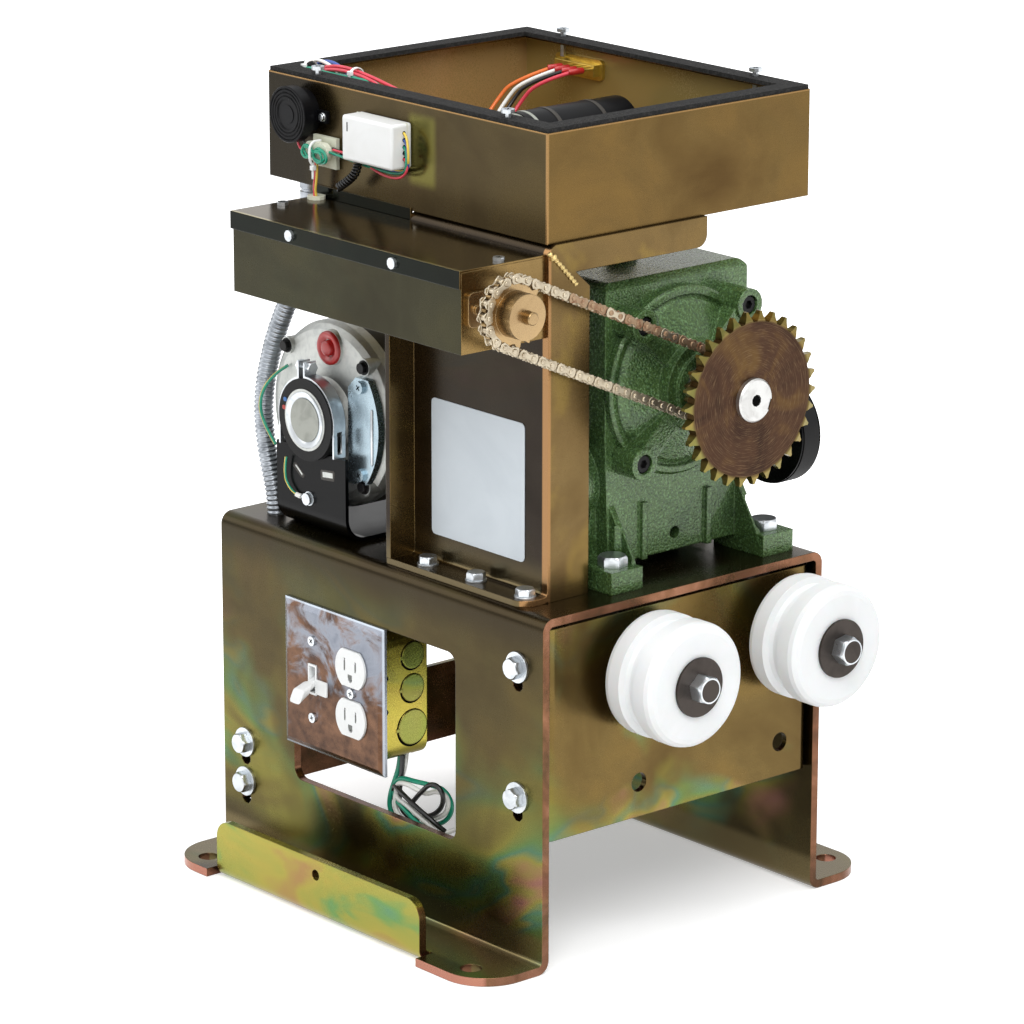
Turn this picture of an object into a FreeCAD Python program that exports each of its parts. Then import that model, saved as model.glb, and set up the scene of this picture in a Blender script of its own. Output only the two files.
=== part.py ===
import FreeCAD, Part
import os
from math import acos, atan2, cos, degrees, hypot, pi, radians, sin, sqrt, tan

# Slide gate operator: a motor and worm gearbox on a bent steel base, which drive
# a chain sprocket between two idler rollers. A second, small chain turns a screw
# whose nuts trip the limit switches. Millimetres; +Z is up, the origin is the
# centre of the four anchor holes on the floor, and the chain side faces +X.

V = FreeCAD.Vector

# Base frame
plate = 6.35
plate_bend = 3.2
frame_length = 372.0
frame_depth = 274.8
frame_height = 266.3
foot_reach = 196.0
foot_corner = 36.0
lip_inset = 7.0
lip_height = 46.0
lip_low = -130.0
lip_high = 110.0
lip_corner = 14.0
lip_relief = 4.0
cover_hole = 8.4
cover_hole_height = 34.0
anchor_x = 155.0
anchor_inset = 18.0
anchor_hole = 15.9
window_low = -99.0
window_high = 90.0
window_sill = 75.5
window_head = 219.0
window_corner = 9.0

# Roller plate, rear brace and their bolts
sheet = 4.76
sheet_bend = 4.0
channel_face = 181.4
channel_flange = 54.0
roller_plate_low = 97.2
roller_plate_high = 256.2
brace_low = 41.5
brace_high = 104.0
bolt_x = 159.0
roller_bolt_low = 128.0
roller_bolt_high = 226.0
brace_bolt_low = 57.5
brace_bolt_high = 89.0
slot_up = 8.0
slot_down = 18.0
frame_bolt = 9.5

# Idler rollers
drive_y = 30.5
roller_spread = 141.4
roller_z = 211.3
spare_hole_z = 123.5
roller_bolt = 12.7
roller_hole = 14.3
roller_bore = 13.2
roller_play = 0.08
roller_flange = 92.4
roller_round = 7.0
roller_groove = 80.4
groove_half = 7.5
groove_floor = 2.6
roller_width = 51.4
roller_spacer = 9.6
roller_head = 11.0
spacer_size = 25.0
roller_washer = 44.0
washer = 2.4

# Worm gearbox
gear_x = 98.3
worm_height = 70.0
gear_centres = 70.0
worm_teeth = 30
gear_module = 3.5
wheel_width = 24.0
worm_turns = 5
wheel_hand = 1
tooth_play = 0.55
foot_spread_x = 115.0
foot_spread_y = 150.0
foot_pad = 30.0
foot_high = 16.5
foot_edge = 16.0
foot_bolt = 12.7
case_half_x = 42.0
case_half_y = 69.5
case_top = 219.7
case_floor = 11.0
case_round = 8.0
case_edge = 5.0
case_rib = 5.0
case_rib_spread = 32.0
case_rib_high = 42.0
wheel_room = 58.0
worm_tube = 35.0
worm_room = 24.0
worm_case_half = 82.0
cover_size = 140.0
cover_rim = 7.0
cover_crown = 18.0
cover_arm = 21.0
cover_lug = 23.0
cover_lug_size = 24.0
cover_screw_reach = 51.0
cover_screw_sink = 7.5
boss_size = 68.0
boss_out = 31.0
filler_high = 5.0
output_shaft_size = 32.0
output_seat = 35.0
output_bearing = 62.0
output_bearing_width = 14.0
shaft_out = 126.5
worm_seat = 20.0
worm_bearing = 47.0
worm_bearing_width = 14.0
input_size = 19.0
input_out = 140.0
running = 0.03

# Gate sprocket, on the output shaft
gate_teeth = 30
gate_pitch = 12.7
gate_roller = 7.92
gate_width = 7.2
gate_face = 122.0
gate_hub = 63.0
gate_hub_long = 18.0
gate_bevel = 1.8
key_width = 8.0
key_angle = -20.0
key_sunk = 3.8
key_proud = 2.6

# Limit chain and its two like sprockets
chain_pitch = 9.525
chain_roller = 5.08
chain_plate = 1.25
chain_inner = 4.8
chain_height = 9.0
chain_links = 60
chain_teeth = 16
chain_plane = 179.0
chain_tooth_width = 4.3
chain_hub = 33.0
chain_hub_long = 14.5
limit_shaft_z = 492.0

# Column
column_low = 3.0
column_high = 155.8
column_face = 106.7
column_foot = 23.0
column_return = 38.8
column_wing = 23.3
shelf_end = 45.0
shelf_lip = 22.0
shelf_top = 527.3

# Limit switch box
case_sheet = 1.5
box_low = -104.6
box_high = 152.5
box_floor = 460.6
box_top = 520.7
box_deep = 79.0
lid_lip = 13.2
limit_bore = 9.5
screw_size = 12.7
screw_lead = 2.54
nut_size = 34.0
nut_long = 14.0
nut_notch = 3.6
open_nut_x = 52.0
close_nut_x = -20.0
nut_travel = 19.05
guide_bar = 3.0
switch_high = 16.0
bearing_wide = 38.6
bearing_high = 25.0
bearing_plate = 3.0
bearing_bush = 18.5
bearing_screws = 12.0

# Control box
tray_low = -161.6
tray_high = 152.3
tray_front = -105.2
tray_back = 149.0
tray_top = 606.6
tray_sheet = 1.9
tray_rim = 14.0
gasket = 3.2
lid_screw_reach = 106.8
lid_screw_proud = 3.5
gasket_wide = 16.0

# Motor
motor_x = -94.4
motor_height = 88.9
shell_size = 142.0
shell_wall = 2.5
shell_front = -88.0
shell_back = 98.0
bell_deep = 18.0
ring_size = 62.5
ring_bore = 47.0
ring_long = 14.0
ring_front = -128.0
ring_back = 136.0
rotor_size = 80.0
rotor_long = 100.0
motor_shaft = 15.875
motor_bearing = 35.0
motor_bearing_width = 11.0
cradle_sheet = 3.0
cradle_half = 41.0
cradle_foot = 80.0
cradle_bend = 16.0
ground_eye = 1.1
bell_shoulder = 11.0
bell_ear = 13.0
bell_ear_out = 2.0
bell_bolt_ring = 64.5
bell_bolt_hole = 7.5
terminal_cover_size = 134.0
terminal_cover_thick = 6.0
terminal_cover_low = -44.0
terminal_cover_high = 38.0
button_size = 11.8
button_proud = 6.0
reset_pad = 27.0
reset_pad_out = 1.5

# Pulleys and belt
pulley_centre = 170.5
belt_top = 15.0
belt_deep = 8.0
belt_angle = 18.0
gear_pulley_pitch = 76.2
belt_ratio = 1.25
belt_above_pitch = 2.9
pulley_rim = 2.0
belt_play = 0.05

# Outlet box, its plate, switch and outlet
outlet_x = -46.7
outlet_drop = 57.05
outlet_plate_x = 117.1
outlet_plate_z = 114.3
outlet_proud = 4.8
outlet_bevel = 5.0
outlet_sheet = 1.2
outlet_box = 101.6
outlet_box_deep = 48.5
outlet_box_sheet = 1.6
outlet_box_round = 12.0
gang_spacing = 46.05
toggle_screws = 60.3
outlet_faces = 38.9
toggle_rest = 25.0

# The supply leads leave the outlet box downwards and are tied in a loose knot
lead_bundle = 8.0
lead_exit = (-6.5, -107.0)
lead_coil_size = 58.0
lead_coil_wire = 17.0
lead_coil_drop = 82.0
lead_coil_reach = 68.7
lead_coil_y = -111.0

# Small parts
conduit_size = 13.5
wire_size = 3.0
buzzer_size = 42.0
buzzer_deep = 16.5
receiver_wide = 57.0
receiver_high = 33.5
receiver_deep = 19.5

# On the control box's floor and walls
board_x = -70.0
board_y = -92.0
board_long = 200.0
board_wide = 90.0
board_lift = 8.0
board_thick = 1.6
board_edge = 7.0
board_block_long = 70.0
board_block_high = 12.0
relay_long = 28.0
relay_wide = 20.0
relay_high = 16.0
winding_long = 52.0
winding_deep = 42.0
winding_high = 30.0
capacitor_x = [-24.0, 34.0]
capacitor_size = [50.0, 44.0]
capacitor_long = [102.0, 82.0]
lead_tab_drop = 16.6
lead_tab_first = 63.6
lead_tab_step = 8.0
lead_foot_first = 35.6
lead_foot_step = 10.0
lead_foot_y = 58.0
buzzer_place = (-119.0, 581.5)
receiver_place = (-23.5, 575.5)
tie_place = (-92.0, 556.0)
grommet_place = (-97.0, -112.5)

# The conduit rises from the frame's deck, bows out past the motor and enters the control box
conduit_route = [
    (-158.0, -104.0, 240.0),
    (-158.5, -104.0, 275.0),
    (-171.0, -104.5, 312.0),
    (-176.0, -104.0, 352.0),
    (-166.0, -101.0, 398.0),
    (-148.0, -96.0, 440.0),
    (-133.0, -92.0, 482.0),
    (-128.0, -90.0, 528.0),
]

# Derived places
lip_face = foot_reach - lip_inset
anchor_y = foot_reach - anchor_inset
outlet_z = window_head - outlet_drop
leg_face = frame_depth / 2
leg_inside = leg_face - plate
deck = frame_height
deck_under = deck - plate
channel_side = leg_inside - sheet
worm_z = deck + worm_height
drive_z = worm_z + gear_centres
motor_z = deck + motor_height
shaft_end = gear_x + shaft_out
filler_place = (gear_x - 20.0, drive_y)
gate_front = gear_x + gate_face
chain_radius = chain_pitch / (2 * sin(pi / chain_teeth))
chain_centres = (chain_links - chain_teeth) / 2 * chain_pitch
limit_rise = limit_shaft_z - drive_z
limit_shaft_y = drive_y - sqrt(chain_centres**2 - limit_rise**2)
box_front = -column_face - box_deep
roller_inner = channel_face + roller_spacer
roller_outer = roller_inner + roller_width
roller_places = [drive_y - roller_spread / 2, drive_y + roller_spread / 2]
gear_pulley_radius = gear_pulley_pitch / 2 + belt_above_pitch
motor_pulley_radius = gear_pulley_pitch / belt_ratio / 2 + belt_above_pitch
tray_floor = shelf_top + tray_sheet
lead_coil_place = (outlet_x + lead_coil_reach, lead_coil_y, outlet_z - lead_coil_drop)
lead_tab_z = tray_top - lead_tab_drop
lead_tabs = [tray_low + lead_tab_first + i * lead_tab_step for i in range(4)]
lead_feet = [tray_low + lead_foot_first + i * lead_foot_step for i in range(4)]


# The four corners of a rectangle
quadrants = [(-1, -1), (1, -1), (1, 1), (-1, 1)]


def point(axis, station, a, b):
    """A point at a station along axis; a and b are the other two coordinates in X, Y, Z order."""
    return {"X": V(station, a, b), "Y": V(a, station, b), "Z": V(a, b, station)}[axis]


def along(axis):
    return {"X": V(1, 0, 0), "Y": V(0, 1, 0), "Z": V(0, 0, 1)}[axis]


def block(x, y, z):
    """A box over the ranges x, y and z."""
    return Part.makeBox(x[1] - x[0], y[1] - y[0], z[1] - z[0], V(x[0], y[0], z[0]))


def rod(axis, place, size, start, end):
    """A round bar of diameter size about place, from start to end along axis."""
    return Part.makeCylinder(size / 2, end - start, point(axis, start, *place), along(axis))


def ring(axis, place, outer, inner, start, end):
    """A tube of diameters outer and inner."""
    return rod(axis, place, outer, start, end).cut(rod(axis, place, inner, start, end))


def prism(axis, place, size, start, end, sides=12):
    """A many-sided bar, size across its flats, for small or hidden round pieces and their holes."""
    radius = size / 2 / cos(pi / sides)
    angles = [2 * pi * (i + 0.5) / sides for i in range(sides)]
    corners = [(place[0] + radius * cos(a), place[1] + radius * sin(a)) for a in angles]
    return slab(axis, corners, *sorted((start, end)))


def line(a, b):
    return Part.LineSegment(a, b).toShape()


def arc(a, b, c):
    return Part.Arc(a, b, c).toShape()


def outline(axis, station, corners):
    """A closed wire through corners (a, b) or (a, b, radius); a radius is a tangent arc."""
    places = [V(c[0], c[1], 0) for c in corners]
    radii = [c[2] if len(c) > 2 else 0.0 for c in corners]
    ends = []
    for i, (here, radius) in enumerate(zip(places, radii)):
        into = (here - places[i - 1]).normalize()
        out = (places[(i + 1) % len(places)] - here).normalize()
        if radius <= 0:
            ends.append((here, None, here))
            continue
        half = acos(max(-1.0, min(1.0, into.dot(out)))) / 2
        centre = here + (out - into).normalize() * (radius / cos(half))
        middle = centre + (here - centre).normalize() * radius
        reach = radius * tan(half)
        ends.append((here - into * reach, middle, here + out * reach))
    edges = []
    for i, (first, middle, last) in enumerate(ends):
        before = ends[i - 1][2]
        if before.distanceToPoint(first) > 1e-6:
            edges.append(line(point(axis, station, before.x, before.y), point(axis, station, first.x, first.y)))
        if middle:
            edges.append(arc(*[point(axis, station, p.x, p.y) for p in (first, middle, last)]))
    return Part.Wire(Part.__sortEdges__(edges))


def slab(axis, corners, start, end):
    """A plate from start to end along axis, with the outline through corners."""
    return Part.Face(outline(axis, start, corners)).extrude(along(axis) * (end - start))


def panel(axis, a, b, start, end, corner=0.0):
    """A rectangular plate over the ranges a and b, with rounded corners."""
    corners = [(a[0], b[0], corner), (a[1], b[0], corner), (a[1], b[1], corner), (a[0], b[1], corner)]
    return slab(axis, corners, start, end)


def turned(axis, place, profile):
    """A turned solid about axis through place; profile lists (station, radius) corners."""
    a, b = place
    if axis == "Z":
        corners = [V(a + radius, b, station) for station, radius in profile]
    else:
        corners = [point(axis, station, a, b + radius) for station, radius in profile]
    face = Part.Face(Part.makePolygon(corners + [corners[0]]))
    return face.revolve(point(axis, 0, a, b), along(axis), 360)


def left(way):
    return V(-way.y, way.x, 0)


def strip(axis, middle, thickness, inside, start, end):
    """A strip bent along the mid line's corners, as wide as start to end along axis."""
    radius = inside + thickness / 2
    places = [V(a, b, 0) for a, b in middle]
    ways = [(b - a).normalize() for a, b in zip(places, places[1:])]

    def side(lift):
        edges = []
        here = places[0] + left(ways[0]) * lift
        for corner, way, after in zip(places[1:], ways, ways[1:]):
            turn = atan2(way.cross(after).z, way.dot(after))
            sign = 1 if turn > 0 else -1
            centre = corner - way * (radius * tan(abs(turn) / 2)) + left(way) * (radius * sign)
            reach = (radius - lift * sign) * sign
            first, last = centre - left(way) * reach, centre - left(after) * reach
            halfway = centre - left((way + after).normalize()) * reach
            edges += [("line", here, first), ("arc", first, halfway, last)]
            here = last
        edges.append(("line", here, places[-1] + left(ways[-1]) * lift))
        return edges

    one, other = side(thickness / 2), side(-thickness / 2)
    caps = [("line", one[0][1], other[0][1]), ("line", one[-1][2], other[-1][2])]
    shapes = []
    for kind, *ends in one + other + caps:
        placed = [point(axis, start, p.x, p.y) for p in ends]
        shapes.append(line(*placed) if kind == "line" else arc(*placed))
    wire = Part.Wire(Part.__sortEdges__(shapes))
    return Part.Face(wire).extrude(along(axis) * (end - start))


def hexagon(axis, place, across, start, end, turn=0.0):
    """A hexagonal prism, across its flats."""
    radius = across / sqrt(3)
    corners = [
        (place[0] + radius * cos(radians(turn + 60 * i)), place[1] + radius * sin(radians(turn + 60 * i)))
        for i in range(6)
    ]
    return slab(axis, corners, start, end)


def bolt(axis, place, seat, grip, size, across, head, disc=0.0, disc_thick=0.0, turn=0.0, nut_from=0.0, nut_thick=0.0):
    """A hex bolt with its washer and nut: it goes in from seat by grip, whose sign is its way in."""
    way = 1 if grip > 0 else -1
    under = seat - way * disc_thick
    body = prism(axis, place, size, under, seat + grip, 8)
    body = body.fuse(hexagon(axis, place, across, *sorted((under, under - way * head)), turn))
    if disc:
        body = body.fuse(prism(axis, place, disc, seat, under))
    if nut_thick:
        start = seat + way * nut_from
        body = body.fuse(hexagon(axis, place, across, *sorted((start, start + way * nut_thick)), turn))
    return body.removeSplitter()


def nut(axis, place, seat, thick, across, size, turn=0.0):
    """A hex nut standing on seat; thick's sign is the way it stands out."""
    low, high = sorted((seat, seat + thick))
    return hexagon(axis, place, across, low, high, turn).cut(rod(axis, place, size + 0.1, low, high))


def screw(axis, place, seat, grip, size, head, head_high):
    """A round-headed screw on seat, running grip past it."""
    way = 1 if grip > 0 else -1
    shank = prism(axis, place, size, seat, seat + grip, 6)
    return shank.fuse(prism(axis, place, head, seat, seat - way * head_high, 10))


cord_notes = []


def cord(name, points, size, sides=6):
    """A cord along straight runs joined by tangent arcs, each as large as its two runs allow."""
    places = [V(*p) for p in points]
    lengths = [a.distanceToPoint(b) for a, b in zip(places, places[1:])]
    ways = [(b - a).normalize() for a, b in zip(places, places[1:])]
    edges, here, radii = [], places[0], []
    for i, corner in enumerate(places[1:-1]):
        half = acos(max(-1.0, min(1.0, ways[i].dot(ways[i + 1])))) / 2
        reach = 0.45 * min(lengths[i], lengths[i + 1])
        radius = reach / tan(half)
        centre = corner + (ways[i + 1] - ways[i]).normalize() * (radius / cos(half))
        first, last = corner - ways[i] * reach, corner + ways[i + 1] * reach
        middle = centre + (corner - centre).normalize() * radius
        edges += [line(here, first), arc(first, middle, last)]
        radii.append(radius)
        here = last
    edges.append(line(here, places[-1]))
    path = Part.Wire(edges)
    across = V(0, 0, 1) if abs(ways[0].z) < 0.7 else V(1, 0, 0)
    side = ways[0].cross(across).normalize()
    up = ways[0].cross(side)
    angles = [2 * pi * (i + 0.5) / sides for i in range(sides)]
    rim = [places[0] + (side * cos(a) + up * sin(a)) * (size / 2) for a in angles]
    body = path.makePipeShell([Part.makePolygon(rim + rim[:1])], True, False)
    section = sides * sin(2 * pi / sides) / 2 * (size / 2) ** 2
    cord_notes.append((name, path.Length, min(radii), body.Volume / (section * path.Length)))
    return body


def sprocket(axis, place, teeth, pitch, roller, start, end, turn, bevel=0.0):
    """A toothed disc with flat gaps and narrow tips, bevelled on both faces. turn is one gap's angle."""
    radius = pitch / (2 * sin(pi / teeth))
    tip = pitch * (0.6 + 1 / tan(pi / teeth)) / 2
    seat = roller / 2 + 0.1
    rim = []
    for i in range(teeth):
        angle = radians(turn) + 2 * pi * i / teeth
        out, side = V(cos(angle), sin(angle), 0), V(-sin(angle), cos(angle), 0)
        step = pi / teeth - 0.07 * pitch / tip
        tips = [V(tip * cos(angle + s * step), tip * sin(angle + s * step), 0) for s in (-1, 1)]
        wide, deep = seat * 0.45, seat
        low = [out * (radius - deep) + side * (s * wide) for s in (-1, 1)]
        flank = [out * (radius + seat * 0.1) + side * (s * seat * 1.15) for s in (-1, 1)]
        rim += [tips[0], flank[0], low[0], low[1], flank[1], tips[1]]
    body = slab(axis, [(place[0] + p.x, place[1] + p.y) for p in rim], start, end)
    if not bevel:
        return body

    def loop(station, size):
        return outline(axis, station, [(place[0] + size * cos(a), place[1] + size * sin(a)) for a in spokes])

    spokes = [radians(turn) + 2 * pi * i / teeth for i in range(teeth)]
    out = tip / cos(pi / teeth) + 0.2
    fall = 3.4 * bevel
    sections = [(start, out - fall), (start + bevel, out), (end - bevel, out), (end, out - fall)]
    return body.common(Part.makeLoft([loop(*section) for section in sections], True, True))


def hex_turn(index):
    """A different, fixed turn for each of a row of bolt heads."""
    return 17.0 * index % 60


def base_frame():
    foot = plate / 2
    leg = leg_face - plate / 2
    top = frame_height - plate / 2
    half = frame_length / 2
    path = [(-foot_reach, foot), (-leg, foot), (-leg, top), (leg, top), (leg, foot), (foot_reach, foot)]
    body = strip("X", path, plate, plate_bend, -half, half)
    outer_bend = plate_bend + plate
    for side in (-1, 1):
        for end in (-1, 1):
            x = sorted((end * (half - foot_corner), end * (half + 1)))
            y = sorted((side * (foot_reach - foot_corner), side * (foot_reach + 1)))
            corner = block(x, y, (-1, plate + 1))
            centre = (end * (half - foot_corner), side * (foot_reach - foot_corner))
            body = body.cut(corner.cut(rod("Z", centre, 2 * foot_corner, -1, plate + 1)))
            body = body.cut(rod("Z", (end * anchor_x, side * anchor_y), anchor_hole, -1, plate + 1))
        y = sorted((side * (lip_face - outer_bend), side * (foot_reach + 1)))
        body = body.cut(block((lip_low - lip_relief, lip_high + lip_relief), y, (-1, plate + 1)))
        lip_mid = lip_face - plate / 2
        path = [(side * (lip_face - outer_bend - 1), foot), (side * lip_mid, foot), (side * lip_mid, lip_height)]
        lip = strip("X", path, plate, plate_bend, lip_low, lip_high)
        shape = [(lip_low, -1), (lip_high, -1), (lip_high, lip_height, lip_corner), (lip_low, lip_height, lip_corner)]
        y = sorted((side * (lip_face - outer_bend - 2), side * (lip_face + 1)))
        lip = lip.common(slab("Y", shape, *y))
        hole = rod("Y", ((lip_low + lip_high) / 2, cover_hole_height), cover_hole, *y)
        body = body.fuse(lip.cut(hole))
    window = panel(
        "Y", (window_low, window_high), (window_sill, window_head), -leg_face - 1, -leg_inside + 1, window_corner
    )
    body = body.cut(window)
    half_slot = (frame_bolt + 1) / 2
    nose = half_slot * 0.6
    for x, z in frame_bolt_places():
        low, high = z - slot_down, z + slot_up
        shape = [
            (x - half_slot, low + nose), (x - half_slot + nose, low), (x + half_slot - nose, low),
            (x + half_slot, low + nose), (x + half_slot, high - nose), (x + half_slot - nose, high),
            (x - half_slot + nose, high), (x - half_slot, high - nose),
        ]
        body = body.cut(slab("Y", shape, -leg_face - 1, -leg_inside + 1))
        body = body.cut(slab("Y", shape, leg_inside - 1, leg_face + 1))
    for place, size in deck_holes():
        body = body.cut(prism("Z", place, size, deck_under - 1, deck + 1, 8))
    return [body.removeSplitter()]


def frame_bolt_places():
    places = [(bolt_x, z) for z in (roller_bolt_low, roller_bolt_high)]
    return places + [(-bolt_x, z) for z in (brace_bolt_low, brace_bolt_high)]


def gear_foot_places():
    return [
        (gear_x + a * foot_spread_x / 2, drive_y + b * foot_spread_y / 2) for a in (-1, 1) for b in (-1, 1)
    ]


def cradle_bolt_places():
    middle = (ring_front + ring_back) / 2
    return [(motor_x + a * 62.0, middle + b * 38.1) for a in (-1, 1) for b in (-1, 1)]


def column_bolt_places():
    y = -column_face - column_foot / 2
    return [(column_low + 0.22 * (column_high - column_low) + i * 54.0, y) for i in range(3)]


def deck_holes():
    holes = [(place, foot_bolt + 1) for place in gear_foot_places()]
    holes += [(place, 8.9) for place in cradle_bolt_places() + column_bolt_places()]
    return holes + [((conduit_route[0][0], conduit_route[0][1]), conduit_size + 3)]


def channel(side, low, high):
    """A plate with its two ends bent back to lie inside the legs."""
    face = channel_face - sheet / 2
    flange = leg_inside - sheet / 2
    end = channel_face - channel_flange
    path = [(side * end, -flange), (side * face, -flange), (side * face, flange), (side * end, flange)]
    return strip("Z", path, sheet, sheet_bend, low, high)


def roller_plate():
    body = channel(1, roller_plate_low, roller_plate_high)
    for y in roller_places:
        body = body.cut(rod("X", (y, spare_hole_z), roller_hole, channel_face - sheet - 1, channel_face + 1))
        body = body.cut(prism("X", (y, roller_z), roller_hole, channel_face - sheet - 1, channel_face + 1, 8))
    for z in (roller_bolt_low, roller_bolt_high):
        body = body.cut(prism("Y", (bolt_x, z), frame_bolt + 0.6, -leg_inside - 1, leg_inside + 1, 8))
    return [body]


def rear_brace():
    body = channel(-1, brace_low, brace_high)
    for z in (brace_bolt_low, brace_bolt_high):
        body = body.cut(prism("Y", (-bolt_x, z), frame_bolt + 0.6, -leg_inside - 1, leg_inside + 1, 8))
    return [body]


def frame_bolts():
    made = []
    for i, (x, z) in enumerate(frame_bolt_places()):
        for side in (-1, 1):
            inner = plate + sheet
            turn = hex_turn(2 * i + side)
            made.append(
                bolt(
                    "Y", (x, z), side * leg_face, -side * (inner + 12.0), frame_bolt, 14.3, 6.3, 23.0, 2.0, turn,
                    inner, 8.0,
                )
            )
    return made


def column_bracket():
    """Front wall with a foot bent forward and a shelf bent back, a wing, a return and the shelf's lip."""
    mid = sheet / 2
    wall = -column_face + mid
    foot_edge_y = -column_face - column_foot
    path = [(foot_edge_y, deck + mid), (wall, deck + mid), (wall, shelf_top - mid), (shelf_end, shelf_top - mid)]
    body = strip("X", path, sheet, sheet_bend, column_low, column_high)
    corner = 12.0
    foot_trim = slab(
        "Z",
        [
            (column_low - 1, foot_edge_y),
            (column_high, foot_edge_y, corner),
            (column_high, shelf_end),
            (column_low - 1, shelf_end),
        ],
        deck - 1,
        shelf_top + 1,
    )
    body = body.common(foot_trim)
    wing_low, wing_top = deck + sheet, box_floor - 0.6
    wing = panel("X", (-column_face - column_wing, wall), (wing_low, wing_top), column_low, column_low + sheet)
    body = body.fuse(wing)
    inner = -column_face + column_return
    lip_under = shelf_top - shelf_lip
    chamfer = 12.0
    side = slab(
        "X",
        [
            (-column_face + 0.6, deck),
            (inner, deck),
            (inner, lip_under - chamfer),
            (inner - chamfer * 1.1, lip_under),
            (shelf_end, lip_under, 9.0),
            (shelf_end, shelf_top - 0.6, 5.0),
            (-column_face + 0.6, shelf_top - 0.6, sheet_bend + sheet),
        ],
        column_high - sheet,
        column_high,
    )
    body = body.fuse(side)
    for place in column_bolt_places():
        body = body.cut(prism("Z", place, 8.9, deck - 1, deck + sheet + 1, 8))
    for x in limit_mount_places():
        middle = (box_floor + box_top) / 2
        body = body.cut(prism("Y", (x, middle), 5.7, -column_face - 1, -column_face + sheet + 1, 6))
    return [body.removeSplitter()]


def limit_mount_places():
    return [column_low + 22.0, column_high - 26.0]


def deck_bolts():
    """Bolts and nuts through the top of the frame: gearbox feet, motor cradle and column foot."""
    made = []
    sets = (
        (gear_foot_places(), foot_high, (foot_bolt, 19.05, 8.0), (0.0, 0.0), 11.0),
        (cradle_bolt_places(), cradle_sheet, (7.9, 12.7, 5.3), (17.5, 1.6), 6.8),
        (column_bolt_places(), sheet, (7.9, 12.7, 5.3), (16.0, 1.4), 6.8),
    )
    for places, stack, sizes, disc, nut_thick in sets:
        for i, place in enumerate(places):
            inner = stack + plate
            grip = inner + nut_thick + 3.0
            made.append(bolt("Z", place, deck + stack, -grip, *sizes, *disc, hex_turn(i), inner, nut_thick))
    return made


def roller(y):
    """A wide idler with rounded edges and a shallow round groove for the gate chain."""
    low, high = roller_inner, roller_outer
    middle = (low + high) / 2
    rim, root, fall = roller_flange / 2, roller_groove / 2, roller_round
    edge = [(fall * (1 - cos(a)), rim - fall + fall * sin(a)) for a in (0, pi / 6, pi / 3, pi / 2)]
    floor = [(middle - groove_half, rim), (middle - groove_half + 1.6, root + 1.4), (middle - groove_floor, root)]
    profile = [(low, roller_bore / 2)] + [(low + x, radius) for x, radius in edge] + floor
    profile += [(2 * middle - x, radius) for x, radius in profile[::-1]]
    return [turned("X", (y, roller_z), profile)]


def roller_axles():
    """For each roller: bolt with its front washer and its nut inside the plate, and the spacer behind."""
    made = []
    gap = 0.4
    back = channel_face - sheet
    size = roller_bore - 2 * roller_play
    for i, y in enumerate(roller_places):
        place = (y, roller_z)
        seat = roller_outer + gap
        thread = back - 17.0
        shank = rod("X", place, size, channel_face, seat + washer)
        shank = shank.fuse(prism("X", place, size - 0.4, thread, channel_face, 8))
        shank = shank.fuse(rod("X", place, roller_washer, seat, seat + washer))
        head = seat + washer
        shank = shank.fuse(hexagon("X", place, 19.05, head, head + roller_head, 12.0 + hex_turn(i)))
        shank = shank.fuse(prism("X", place, 35.0, back - washer, back))
        shank = shank.fuse(hexagon("X", place, 19.05, back - washer - 11.0, back - washer, hex_turn(i)))
        made.append(shank.removeSplitter())
        made.append(prism("X", place, spacer_size, channel_face, roller_inner - gap).cut(shank))
    return made


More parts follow.
